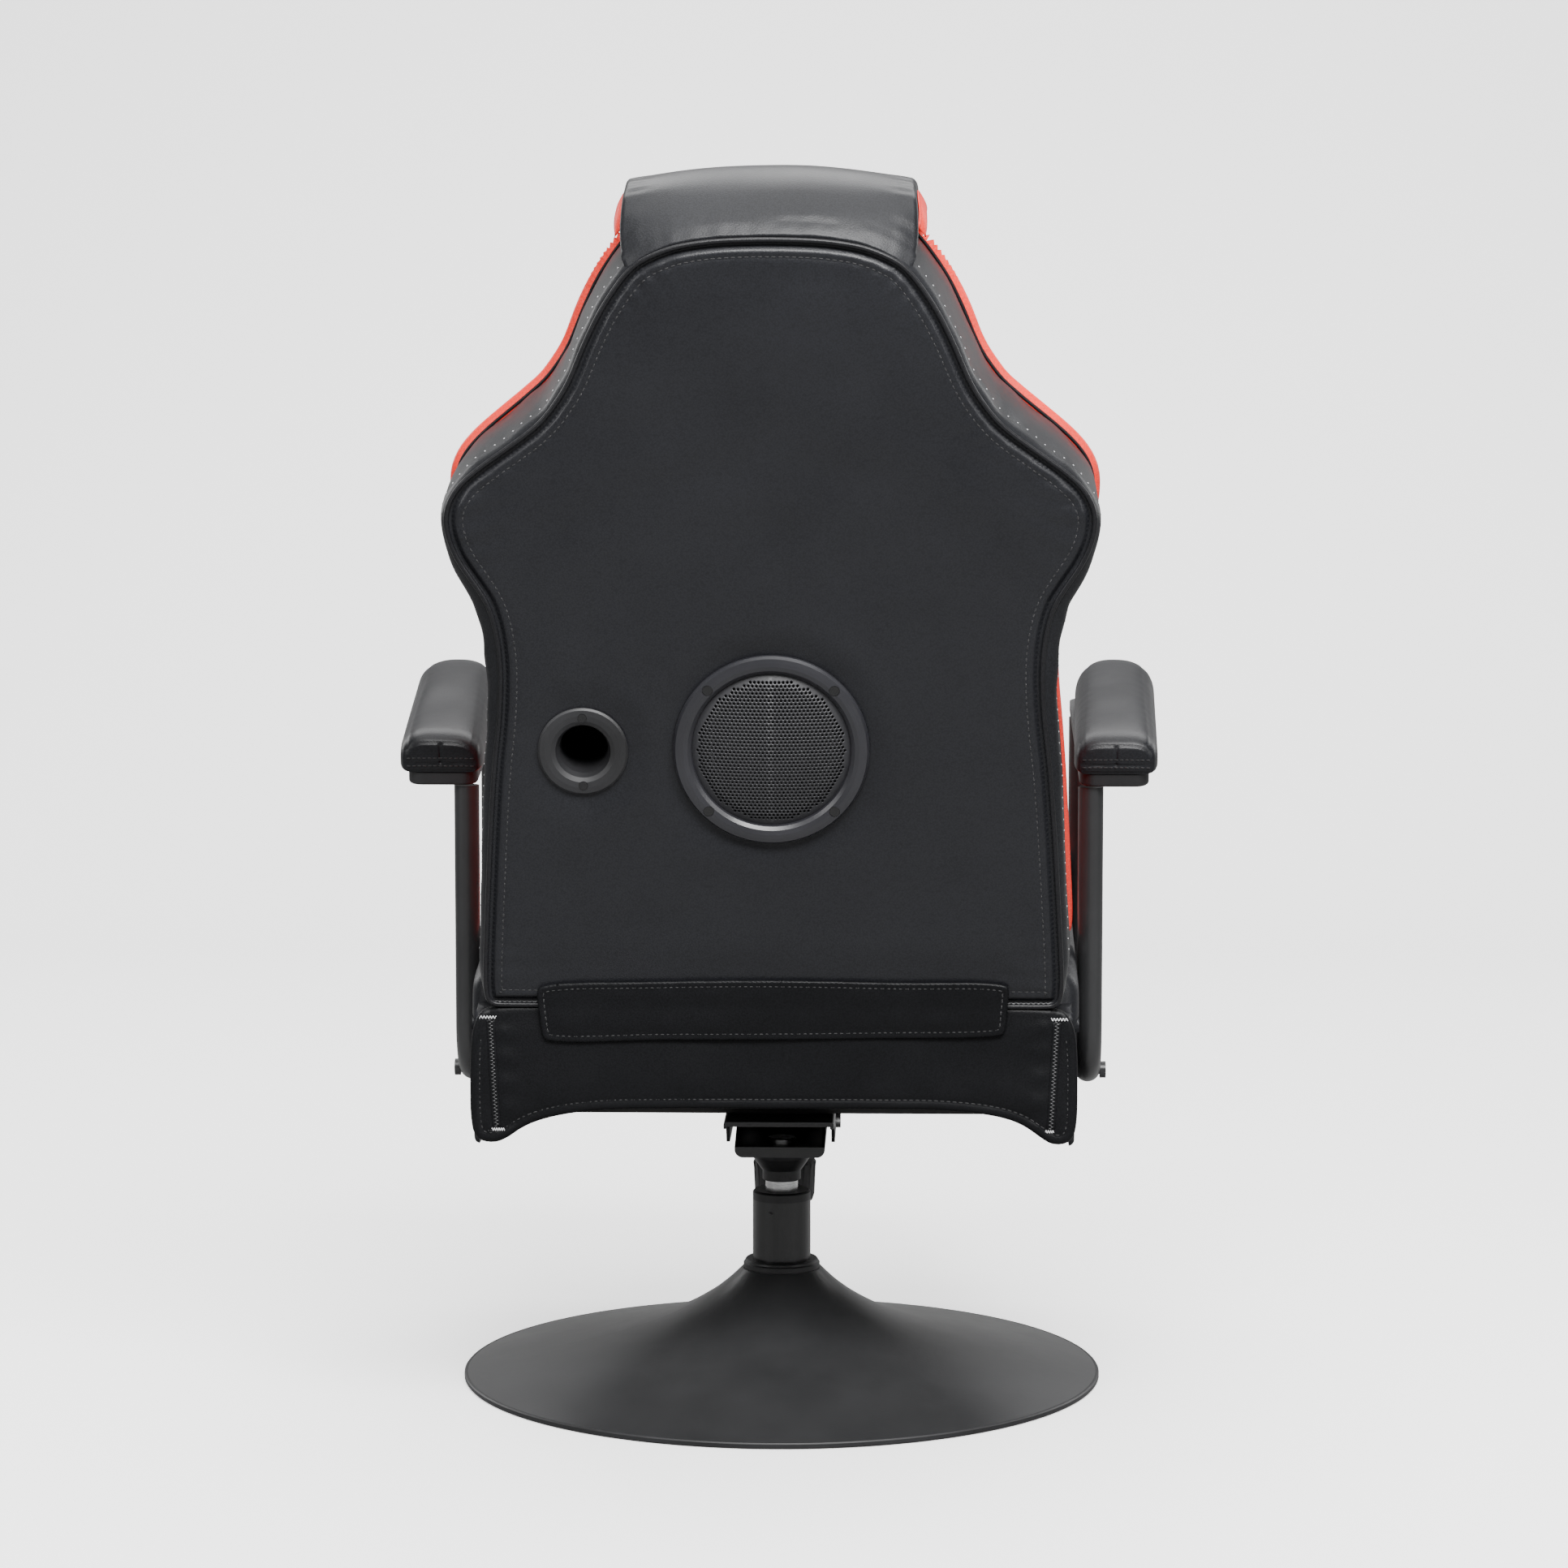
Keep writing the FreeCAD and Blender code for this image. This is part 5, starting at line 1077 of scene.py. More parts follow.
seat_prof = rounded_profile(
    [(204, 333), (204, 352), (198, 364), (180, 372), (100, 385), (0, 397), (-110, 412), (-210, 424), (-270, 429),
     (-300, 427), (-322, 414), (-333, 392), (-336, 360), (-336, 330), (-334, 303), (-326, 301), (-319, 306), (-317, 326),
     (-312, 331), (-290, 331), (-200, 331), (-100, 331), (0, 331), (100, 331), (180, 331)], 4.0, 1)
hold_s = ((seat_prof[:, 1] < 332.5) & (seat_prof[:, 0] > -320)).astype(float)


def dish(x, prof, arc):
    y, z = prof[:, 0], prof[:, 1]
    up = smoothstep(345, 372, z)
    h = -9.0 * up * (1 - (x / 138) ** 2) * np.exp(-(((y - 10) / 150) ** 2))
    h = h + 3.0 * up * math.cos(x / 138 * math.pi / 2)
    ph = (y + 250) / 62.0
    near = (ph - np.round(ph)) * 62.0
    use = up * smoothstep(-262, -246, y) * (1 - smoothstep(118, 130, y))
    h = h + use * (-3.4 * np.exp(-((near / 2.7) ** 2)) + 2.4 * (0.5 + 0.5 * np.cos(2 * math.pi * (ph - 0.5))))
    h = h + use * 0.5 * np.exp(-((near / 9) ** 2)) * np.sin(x * 0.31 + 2.0 * waves(np.full_like(y, x), y, 80, 61))
    h = h + 0.9 * waves(np.full_like(y, x), arc[: len(y)], 160, 62)
    return h


sx = end_stations(-138, 138, 9, 9, 4.0)
sc = sweep_solid("seat_centre_cover", seat_prof, sx, round_inset(-138, 138, 9, 9), yz, BLACK_LEATHER_SOFT,
                 "seat", "black_cover_padded", hold_s, dish)
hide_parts("seat_center_cushion")

bol_prof = rounded_profile(
    [(204, 333), (204.5, 358), (198, 374), (182, 383), (100, 396), (0, 415), (-110, 432), (-210, 443), (-270, 446),
     (-304, 441), (-327, 424), (-339, 398), (-342, 362), (-342, 330), (-339, 304), (-328, 301), (-320, 306), (-317, 326),
     (-312, 331), (-290, 331), (-200, 331), (-100, 331), (0, 331), (100, 331), (180, 331)], 4.0, 1)
hold_b = ((bol_prof[:, 1] < 332.5) & (bol_prof[:, 0] > -320)).astype(float)


def bolster_disp(seed):
    def fn(x, prof, arc):
        y, z = prof[:, 0], prof[:, 1]
        a = abs(x)
        up = smoothstep(350, 385, z)
        h = -10.0 * up * (1 - smoothstep(139, 196, np.full_like(y, a)))
        h = h + 0.9 * waves(np.full_like(y, x), arc[: len(y)], 130, seed)
        side = math.exp(-(((a - 236) / 8) ** 2)) + 0.7 * math.exp(-(((a - 146) / 7) ** 2))
        h = h + 0.8 * side * np.sin(arc[: len(y)] * 0.19 + 1.8 * waves(arc[: len(y)], arc[: len(y)] * 0, 150, seed + 1))
        return h
    return fn


for side, k in (("left", 1), ("right", -1)):
    for part, a, b, ra, rb, mat, slot_ in (("top", 138.6, 228.0, 9, 3.5, RED_LEATHER, "red_cover_padded"),
                                           ("side", 228.2, 249.0, 3.0, 17, BLACK_LEATHER, "black_cover_padded")):
        lo, hi, r0, r1 = (a, b, ra, rb) if k > 0 else (-b, -a, rb, ra)
        xs = end_stations(lo, hi, r0, r1, 4.0)
        ob = sweep_solid("seat_bolster_%s_%s" % (part, side), bol_prof, xs, round_inset(lo, hi, r0, r1), yz, mat,
                         "seat", slot_, hold_b, bolster_disp(71 + k))
        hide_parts("seat_bolster_" + side)

# piping between the seat's centre and its bolsters
arc_seat = seat_prof[(seat_prof[:, 1] > 334) | (seat_prof[:, 0] < -321)]
for k in (1, -1):
    order = resample(catmull([(203.5, 350), (196, 360), (178, 366), (100, 378), (0, 388), (-110, 404), (-210, 417), (-268, 422),
                              (-298, 419), (-318, 407), (-329, 388), (-333, 360), (-333, 330), (-331, 306)], per=6), 5.0)
    tube("seat_piping_" + ("left" if k > 0 else "right"), yz(138.3 * k, order[:, 0], order[:, 1] + 2.2), 2.0 * MM,
         PIPING_BLACK, "seat", "black_cover_padded")

# ------------------------------------------------------------------ skirts, apron and flap


def slab(name, loop, height, to3d, base, mat, slot, insets, spacing, body="seat"):
    """A padded cover on a flat outline: height(v) is how far it stands out, base how deep its back lies."""
    return closed_patch(name, loop, insets, spacing, lambda v: to3d(v, height(v)), lambda v: to3d(v, np.full(len(v), base)),
                        mat, body, slot)


def rect_loop(x0, z0, x1, z1, r, step=4.0):
    c = []
    for cx_, cz_, a0 in ((x1 - r, z1 - r, 90), (x1 - r, z0 + r, 0), (x0 + r, z0 + r, -90), (x0 + r, z1 - r, 180)):
        for t in np.linspace(a0, a0 - 90, 6):
            c.append((cx_ + r * math.cos(math.radians(t)), cz_ + r * math.sin(math.radians(t))))
    return resample(np.array(c), step, True)


def edge_fall(d, r, full):
    t = np.clip(d / r, 0, 1)
    return full * np.sqrt(np.clip(1 - (1 - t) ** 2, 0, 1))


for side, k in (("left", 1), ("right", -1)):
    loop = rect_loop(-317.5, 242.5, 234.5, 330.0, 3.0)
    if k < 0:
        loop = (loop * np.array([-1, 1]))[::-1] * np.array([-1, 1])
        loop = loop[::-1]

    def high(v, loop=loop, k=k):
        d, _ = dist_to(loop, v)
        h = edge_fall(d, 5.0, 4.6)
        h = h + 1.5 * smoothstep(4, 34, d)
        h = h + 0.9 * waves(v[:, 0], v[:, 1], 120, 81 + k) * smoothstep(3, 16, d)
        top = 330 - v[:, 1]
        h = h + 0.7 * np.exp(-(((top - 9) / 8) ** 2)) * np.sin(v[:, 0] * 0.24 + 1.6 * waves(v[:, 0], v[:, 0] * 0, 130, 83 + k))
        return h

    ob = slab("seat_side_cover_" + side, loop, high, lambda v, h, k=k: yz(k * (240.0 + h), v[:, 0], v[:, 1]), 0.2,
              BLACK_LEATHER, "black_cover_padded", [0.4, 1.2, 2.6, 4.5, 7.5, 11, 16], 6.0)
    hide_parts("seat_skirt_" + side)

# front skirt follows the rounded front corners
fs = []
front_path = catmull([(-245, -320), (-245.5, -330), (-241, -337), (-230, -341), (-200, -342), (-100, -343), (0, -343.5),
                      (100, -343), (200, -342), (230, -341), (241, -337), (245.5, -330), (245, -320)], per=8)
front_path = resample(front_path, 5.0)
tt = np.gradient(front_path, axis=0)
nn = np.stack([tt[:, 1], -tt[:, 0]], axis=1)
nn /= np.linalg.norm(nn, axis=1)[:, None]
rows = []
arc_f = np.concatenate([[0], np.cumsum(np.linalg.norm(np.diff(front_path, axis=0), axis=1))])
zs = [242.0, 242.6, 244.2, 247.0, 252, 260, 270, 280, 288, 293, 296.5, 298.8, 300.0]
for z in zs:
    low, hi_ = (z - 242.0), (300.0 - z)
    out = 2.2 * math.sqrt(max(0.0, 1 - (1 - min(low, 5) / 5) ** 2)) + 2.0 * math.sqrt(max(0.0, 1 - (1 - min(hi_, 5) / 5) ** 2)) - 4.2
    out = out + 1.2 * math.sin(math.pi * low / 58) + 0.7 * waves(arc_f, arc_f * 0 + z, 110, 91)
    q = front_path + nn * (out - 1.0)[:, None]
    rows.append(yz(q[:, 0], q[:, 1], z))
inner = front_path - nn * 9.0
inner[:, 1] = np.minimum(inner[:, 1], -319.5)
rows.append(yz(inner[:, 0], inner[:, 1], 300.0))
rows.append(yz(inner[:, 0], inner[:, 1], 242.0))
n, m = len(rows), len(front_path)
verts = np.vstack(rows)
faces = grid_faces(n, m, True, False)
faces.append(tuple(i * m for i in range(n)))
faces.append(tuple(i * m + m - 1 for i in range(n))[::-1])
ob = solid_from("seat_front_cover", verts, faces, BLACK_LEATHER, "seat", "black_cover_padded")
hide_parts("seat_skirt_front")

# rear apron with its arched lower edge
ap = [(-238, 352), (-228, 357), (-120, 357.5), (0, 357.5), (120, 357.5), (228, 357), (238, 352), (244, 338), (246, 320),
      (246.5, 290), (246, 266), (243, 251.5), (237, 246.5), (226, 245.5), (217, 249), (206, 256.5), (192, 263), (168, 269),
      (135, 272.5), (90, 273.6), (0, 274), (-90, 274), (-135, 273.4), (-168, 270.5), (-192, 265.5), (-206, 259), (-217, 251),
      (-226, 246), (-237, 246.5), (-243, 251.5), (-246, 266), (-246.5, 290), (-246, 320), (-244, 338)]
AP = resample(smooth_loop(catmull(ap, closed=True, per=5), 1), 4.0, True)


def apron_height(v):
    d, _ = dist_to(AP, v)
    x, z = v[:, 0], v[:, 1]
    h = edge_fall(d, 4.5, 3.8)
    h = h + 1.6 * smoothstep(3, 26, d) + 0.9 * waves(x, z * 1.6, 150, 101) * smoothstep(4, 22, d)
    h = h - 1.1 * np.exp(-(((d - 8.0) / 1.4) ** 2)) * (z < 330)
    # the cover is drawn in along the two rear corners, where the zips run
    for k in (1, -1):
        line = k * (224.5 + (z - 250) * 0.052)
        h = h - 2.0 * np.exp(-(((x - line) / 3.6) ** 2)) * (z > 256)
        h = h + 0.8 * np.exp(-(((x - line + k * 11) / 8) ** 2)) * np.sin(z * 0.3 + k) * (z < 345)
    low = np.exp(-(((z - 282) / 12) ** 2))
    h = h + 0.5 * low * np.sin(x * 0.12 + 1.8 * waves(x, x * 0, 170, 102))
    return h


# the apron takes the darker leather: painted shade under the seat
apron = slab("seat_apron_cover", AP, apron_height, lambda v, h: yz(v[:, 0], 241.0 + h, v[:, 1]), -5.6, BLACK_LEATHER_PAINTED_SHADE,
             "black_cover_padded", [0.4, 1.2, 2.6, 4.4, 6.6, 8.0, 9.6, 13], 5.0)
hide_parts("seat_rear_apron")
line = offset_loop(AP, -8.0, 2)
keep = line[:, 1] < 332
j = int(np.argmax(~keep))
line, keep = np.roll(line, -j, 0), np.roll(keep, -j)
line = resample(line[keep], 1.5)
stitches("apron_topstitch", yz(line[:, 0], 241.05 + apron_height(line), line[:, 1]),
         np.repeat([[0.0, 1.0, 0.0]], len(line), axis=0), 5.0 * MM, 3.6 * MM, 0.4 * MM, THREAD_BLACK, "seat", "black_cover_padded", sink=0.3)

# flap sewn over the joint between backrest and seat
fl = [(-190, 374), (-188, 377.5), (-100, 379.5), (0, 381), (100, 379.5), (188, 375), (190.5, 371), (189, 350), (186.5, 334),
      (184, 330.5), (90, 331), (0, 331.5), (-90, 333), (-184, 336), (-187, 338.5), (-189, 355)]
FL = resample(smooth_loop(catmull(fl, closed=True, per=6), 1), 3.5, True)


def flap_curve(z):
    """Rear face position of the flap: it hangs straight and then leans back onto the backrest."""
    z = np.asarray(z, float)
    return 247.4 + 1.4 * smoothstep(330, 358, z) + np.maximum(0, z - 359) * 0.235


def flap_height(v):
    d, _ = dist_to(FL, v)
    x, z = v[:, 0], v[:, 1]
    h = 1.2 + edge_fall(d, 2.2, 1.6) - 0.7 * np.exp(-(((d - 5.0) / 1.0) ** 2)) + 1.0 * smoothstep(5, 16, d)
    h = h + 0.7 * waves(x, z * 2.0, 130, 111) * smoothstep(2, 14, d)
    h = h + 0.45 * np.exp(-(((d - 12) / 8) ** 2)) * np.sin(x * 0.17 + 1.5 * waves(x, x * 0, 120, 112))
    return h


# the flap takes the darker leather: painted shade under the backrest
flap = slab("seat_flap_cover", FL, flap_height, lambda v, h: yz(v[:, 0], flap_curve(v[:, 1]) + h, v[:, 1]), 0.2, BLACK_LEATHER_PAINTED_SHADE,
            "black_cover", [0.4, 1.1, 2.2, 3.6, 5.0, 6.4, 9, 13], 5.0)
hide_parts("seat_back_flap")
line = resample(offset_loop(FL, -5.0, 2), 1.5, True)
line = np.vstack([line, line[:1]])
stitches("flap_topstitch", yz(line[:, 0], flap_curve(line[:, 1]) + flap_height(line) + 0.05, line[:, 1]),
         np.repeat([[0.0, 1.0, 0.0]], len(line), axis=0), 5.0 * MM, 3.6 * MM, 0.42 * MM, THREAD_BLACK, "seat", "black_cover", sink=0.3)

# soft bellows of cover between the seat's rear edge and the apron, under the backrest
rows = []
bx = np.concatenate([np.linspace(-243, -200, 12), np.linspace(-190, 190, 30), np.linspace(200, 243, 12)])
for y, z, o in ((200, 331, 0), (201, 348, 0), (206, 356, 0), (216, 354, 0), (226, 351, 0), (236, 353, 0), (237.5, 346, 0), (237.5, 331, 0)):
    pinch = 1 - 0.012 * np.exp(-(((y - 218) / 10) ** 2))
    rows.append(yz(bx * pinch, y, z + 0.8 * waves(bx, bx * 0 + y, 90, 121)))
rows += [yz(bx, 236.5, 329.5), yz(bx, 203, 329.5)]
n, m = len(rows), len(bx)
faces = grid_faces(n, m, True, False) + [tuple(i * m for i in range(n)), tuple(i * m + m - 1 for i in range(n))[::-1]]
solid_from("seat_rear_gusset", np.vstack(rows), faces, BLACK_LEATHER, "seat", "black_cover_padded")

# black cloth closing the underside behind the board
rows = []
cx_ = np.linspace(-226, 226, 60)
for y, z in ((61, 254.2), (90, 256.6), (125, 260.1), (160, 264.1), (195, 268.6), (219, 272.6), (236, 274.3)):
    sag = 1.6 * (1 - (cx_ / 230) ** 2) * math.sin(math.pi * min(1.0, (y - 61) / 158))
    rows.append(yz(cx_, y, z - sag + 0.5 * waves(cx_, cx_ * 0 + y, 80, 131)))
rows2 = [r + np.array([0, 0, 0.0012]) for r in rows[::-1]]
rows += rows2
n, m = len(rows), len(cx_)
faces = grid_faces(n, m, True, False) + [tuple(i * m for i in range(n)), tuple(i * m + m - 1 for i in range(n))[::-1]]
solid_from("underside_cloth", np.vstack(rows), faces, DUST_CLOTH, "seat", "black_cover")

# ------------------------------------------------------------------ zips and bar tacks at the rear corners


def teeth(name, path, pitch, mat, slot):
    """Zip: two rows of small teeth either side of the line, on tape."""
    path = np.asarray(path, float)
    p = resample(path, pitch)
    t = np.gradient(p, axis=0)
    t /= np.linalg.norm(t, axis=1)[:, None]
    verts, faces = [], []
    for i, (c, d) in enumerate(zip(p, t)):
        side_v = np.cross(d, np.array([0, 1.0, 0]))
        side_v /= np.linalg.norm(side_v)
        s = 1 if i % 2 else -1
        cc_ = c + side_v * s * 0.7 * MM
        b = len(verts)
        for dy, w, l in ((-0.4, 1.25, 0.62), (0.5, 1.25, 0.62), (0.95, 0.8, 0.35)):
            for a, q in ((-1, -1), (1, -1), (1, 1), (-1, 1)):
                verts.append(cc_ + side_v * a * w * MM + d * q * l * MM + np.array([0, dy * MM, 0]))
        for r in range(2):
            for j in range(4):
                faces.append((b + r * 4 + j, b + r * 4 + (j + 1) % 4, b + (r + 1) * 4 + (j + 1) % 4, b + (r + 1) * 4 + j))
        faces += [(b + 3, b + 2, b + 1, b), (b + 8, b + 9, b + 10, b + 11)]
    return solid_from(name, np.array(verts), faces, mat, "seat", slot)


def bar_tack(name, centre, half, along, mat, slot, rows_=7):
    """Dense zigzag stitching across a seam end."""
    c = np.array(centre) * MM
    a = np.array(along, float)
    a /= np.linalg.norm(a)
    b = np.cross(a, np.array([0, 1.0, 0]))
    pts = []
    for i in range(rows_ * 2 + 1):
        s = (i / (rows_ * 2) - 0.5) * 2 * half * MM
        pts.append(c + a * s + b * (1.1 * MM if i % 2 else -1.1 * MM))
    return tube(name, catmull(np.array(pts), per=4), 0.38 * MM, mat, "seat", slot, segs=6)


for side, k in (("left", 1), ("right", -1)):
    zl = np.array([(k * (224.5 + (z - 250) * 0.052), z) for z in np.linspace(259, 346, 60)])
    hz = apron_height(zl)
    teeth("seat_zip_" + side, yz(zl[:, 0], 241.4 + hz, zl[:, 1]), 1.5 * MM, DARK_STEEL, "black_plastic")
    tape_pts = []
    for o in (-3.4, -1.7, 0, 1.7, 3.4):
        q = zl + np.array([o, 0])
        tape_pts.append(yz(q[:, 0], 241.35 + apron_height(q), q[:, 1]))
    under = [r - np.array([0, 0.0012, 0]) for r in tape_pts[::-1]]
    allr = tape_pts + under
    n, m = len(allr), len(zl)
    faces = grid_faces(n, m, True, False) + [tuple(i * m for i in range(n)), tuple(i * m + m - 1 for i in range(n))[::-1]]
    # the zip tape takes the darker leather too: painted shade on the apron
    tape = solid_from("seat_zip_tape_" + side, np.vstack(allr), faces, BLACK_LEATHER_PAINTED_SHADE, "seat", "black_plastic")
    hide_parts("seat_zippers")
    for nm, zz, half in (("upper", 348.5, 8.5), ("lower", 256.5, 6.5)):
        xx = k * (224.5 + (zz - 250) * 0.052)
        hh = float(apron_height(np.array([[xx, zz]]))[0])
        bar_tack("bar_tack_%s_%s" % (nm, side), (xx, 242.4 + hh, zz), half, (1, 0, 0), THREAD_WHITE, "black_cover_padded")

# ------------------------------------------------------------------ arm pads

PAD_SLOPE = math.radians(8.3)


def arm_point(k, x, u, w):
    """Across from the pad's centre, forward along it from its rear end, up from its underside; mm."""
    x, u, w = np.broadcast_arrays(np.asarray(x, float), np.asarray(u, float), np.asarray(w, float))
    y = 118 - u * math.cos(PAD_SLOPE) + w * math.sin(PAD_SLOPE)
    z = 534 + u * math.sin(PAD_SLOPE) + w * math.cos(PAD_SLOPE)
    # the pads open outward a little toward the front
    return np.stack([k * (281 + x + 10.0 * np.clip(u, 0, 286) / 286.0) * MM, y * MM, z * MM], axis=-1)


def arm_pad(side, k):
    """Padded armrest: rounded box with a sewn top panel, side walls and a rear wall with two seam rows."""
    n_around = 88
    length, half, thick = 286.0, 35.6, 34.6
    us = np.concatenate([[0, 0.5, 1.6, 3.4, 6, 9.5, 14], np.linspace(20, length - 56, 36), [length - 51, length - 46, length - 41], [length - 33, length - 28, length - 23, length - 18, length - 13.5, length - 9.5, length - 6, length - 3, length - 1.2, length]])
    rings = []
    for u in us:
        # plan rounding at both ends
        e0 = max(0.0, 1 - u / 22.0)
        e1 = max(0.0, 1 - (length - u) / 54.0)
        nose = math.sqrt(max(0.0, 1 - e1 * e1))
        pull = 5.0 * (1 - math.sqrt(max(0.0, 1 - e0 * e0)))
        w_half = (half - pull - 0.8) * (0.16 + 0.84 * nose)
        t_top = thick + 6.5 * min(1.0, max(0.0, (u - 20) / 200.0)) ** 0.8 - pull * 1.9 - 15.0 * (1 - nose) + 1.3 * math.sin(math.pi * min(1, max(0, u / length)))
        ring = []
        for j in range(n_around):
            a = 2 * math.pi * j / n_around
            ca, sa = math.cos(a), math.sin(a)
            # superellipse: flatter below than above
            p = 0.56 + 0.2 * min(1.0, max(0.0, (u - 20) / 180.0)) if sa > 0 else 0.2
            x = w_half * math.copysign(abs(ca) ** p, ca) if abs(ca) > 1e-9 else 0.0
            hgt = (t_top - 9.0) * abs(sa) ** 0.74 if sa > 0 else -8.0 * abs(sa) ** 0.3
            w = 9.0 + hgt
            ring.append((x, w))
        ring = resample(np.array(ring), 2.2, True)
        ring = resample(ring, 1.0, True)
        idx = np.linspace(0, len(ring), n_around, endpoint=False)
        ring = np.stack([np.interp(idx, np.arange(len(ring) + 1), np.append(ring[:, c], ring[0, c])) for c in (0, 1)], axis=1)
        x, w = ring[:, 0].copy(), ring[:, 1].copy()
        # crown of the top panel and its edge seam
        seam_w = t_top - 6.5
        on_side = np.exp(-(((w - seam_w) / 1.5) ** 2)) * smoothstep(0.55, 0.9, np.abs(x) / w_half)
        x = x * (1 - 0.045 * on_side)
        g = np.sin(u * 0.33 + 1.4 * waves(np.full_like(x, u), x * 0, 90, 141 + k))
        near = np.exp(-(((w - seam_w + 5) / 5) ** 2)) * smoothstep(0.6, 0.95, np.abs(x) / w_half)
        x = x * (1 + 0.005 * g * near)
        topz = smoothstep(0.72, 1.0, w / t_top)
        w = w + topz * (0.8 * waves(np.full_like(x, u), x, 100, 143 + k) + 0.2 * np.sin(u * 0.3 + x * 0.1) * smoothstep(14, 30, np.abs(x)))
        rings.append(arm_point(k, x, u, w))
    verts = np.vstack(rings)
    m = n_around
    n = len(us)
    faces = grid_faces(n, m, False, True)
    # end faces: rings shrinking to the middle so that the wall is padded too
    for end, u0 in ((0, us[0]), (n - 1, us[-1])):
        ring0 = rings[end]
        mid = ring0.mean(0)
        base_idx = [end * m + j for j in range(m)]
        prev = base_idx
        sgn = -1 if end == 0 else 1
        fwd = arm_point(k, 0, 1, 0) - arm_point(k, 0, 0, 0)
        fwd = fwd / np.linalg.norm(fwd)
        up = arm_point(k, 0, 0, 1) - arm_point(k, 0, 0, 0)
        up = up / np.linalg.norm(up)
        for q in (0.965, 0.92, 0.86, 0.79, 0.7, 0.6, 0.5, 0.4, 0.3, 0.2, 0.1):
            r = mid + (ring0 - mid) * q
            h_rel = (r - mid) @ up / MM
            x_rel = (r - mid)[:, 0] / MM
            puff = 1.9 * math.sqrt(max(0.0, 1 - q * q))
            out = np.full(m, puff)
            if end == 0:
                # double row of stitching below the top, with the upright seam above it
                out = out - 1.1 * np.exp(-(((h_rel + 3.0) / 0.9) ** 2)) - 1.1 * np.exp(-(((h_rel + 9.6) / 0.9) ** 2))
                out = out - 1.0 * np.exp(-((x_rel / 0.9) ** 2)) * smoothstep(-3.5, -2.0, h_rel)
            b = len(verts)
            verts = np.vstack([verts, r + fwd * sgn * out[:, None] * MM])
            cur = list(range(b, b + m))
            for j in range(m):
                j2 = (j + 1) % m
                faces.append((prev[j], prev[j2], cur[j2], cur[j]))
            prev = cur
        verts = np.vstack([verts, (mid + fwd * sgn * 1.9 * MM)[None]])
        c = len(verts) - 1
        for j in range(m):
            faces.append((prev[j], prev[(j + 1) % m], c))
    ob = solid_from("arm_pad_cover_" + side, verts, faces, BLACK_LEATHER_SOFT, "seat", "black_cover_padded")
    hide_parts("arm_pad_" + side)
    # stitch rows on the rear wall
    fwd = arm_point(k, 0, -1, 0) - arm_point(k, 0, 0, 0)
    fwd = fwd / np.linalg.norm(fwd)
    for nm, w in (("upper", 13.2), ("lower", 6.6)):
        xs = np.linspace(-28.5, 28.5, 60)
        ln = arm_point(k, xs, 0 * xs - 1.2 - 0.7 * (1 - (xs / 30) ** 2), w + 0.4 * (1 - (xs / 30) ** 2))
        stitches("arm_pad_stitch_%s_%s" % (nm, side), ln, np.repeat(fwd[None], 60, axis=0), 4.2 * MM, 3.0 * MM, 0.4 * MM,
                 THREAD_BLACK, "seat", "black_cover_padded", sink=0.25)
    return ob


arm_pad("left", 1)
arm_pad("right", -1)

# ------------------------------------------------------------------ perforated grille


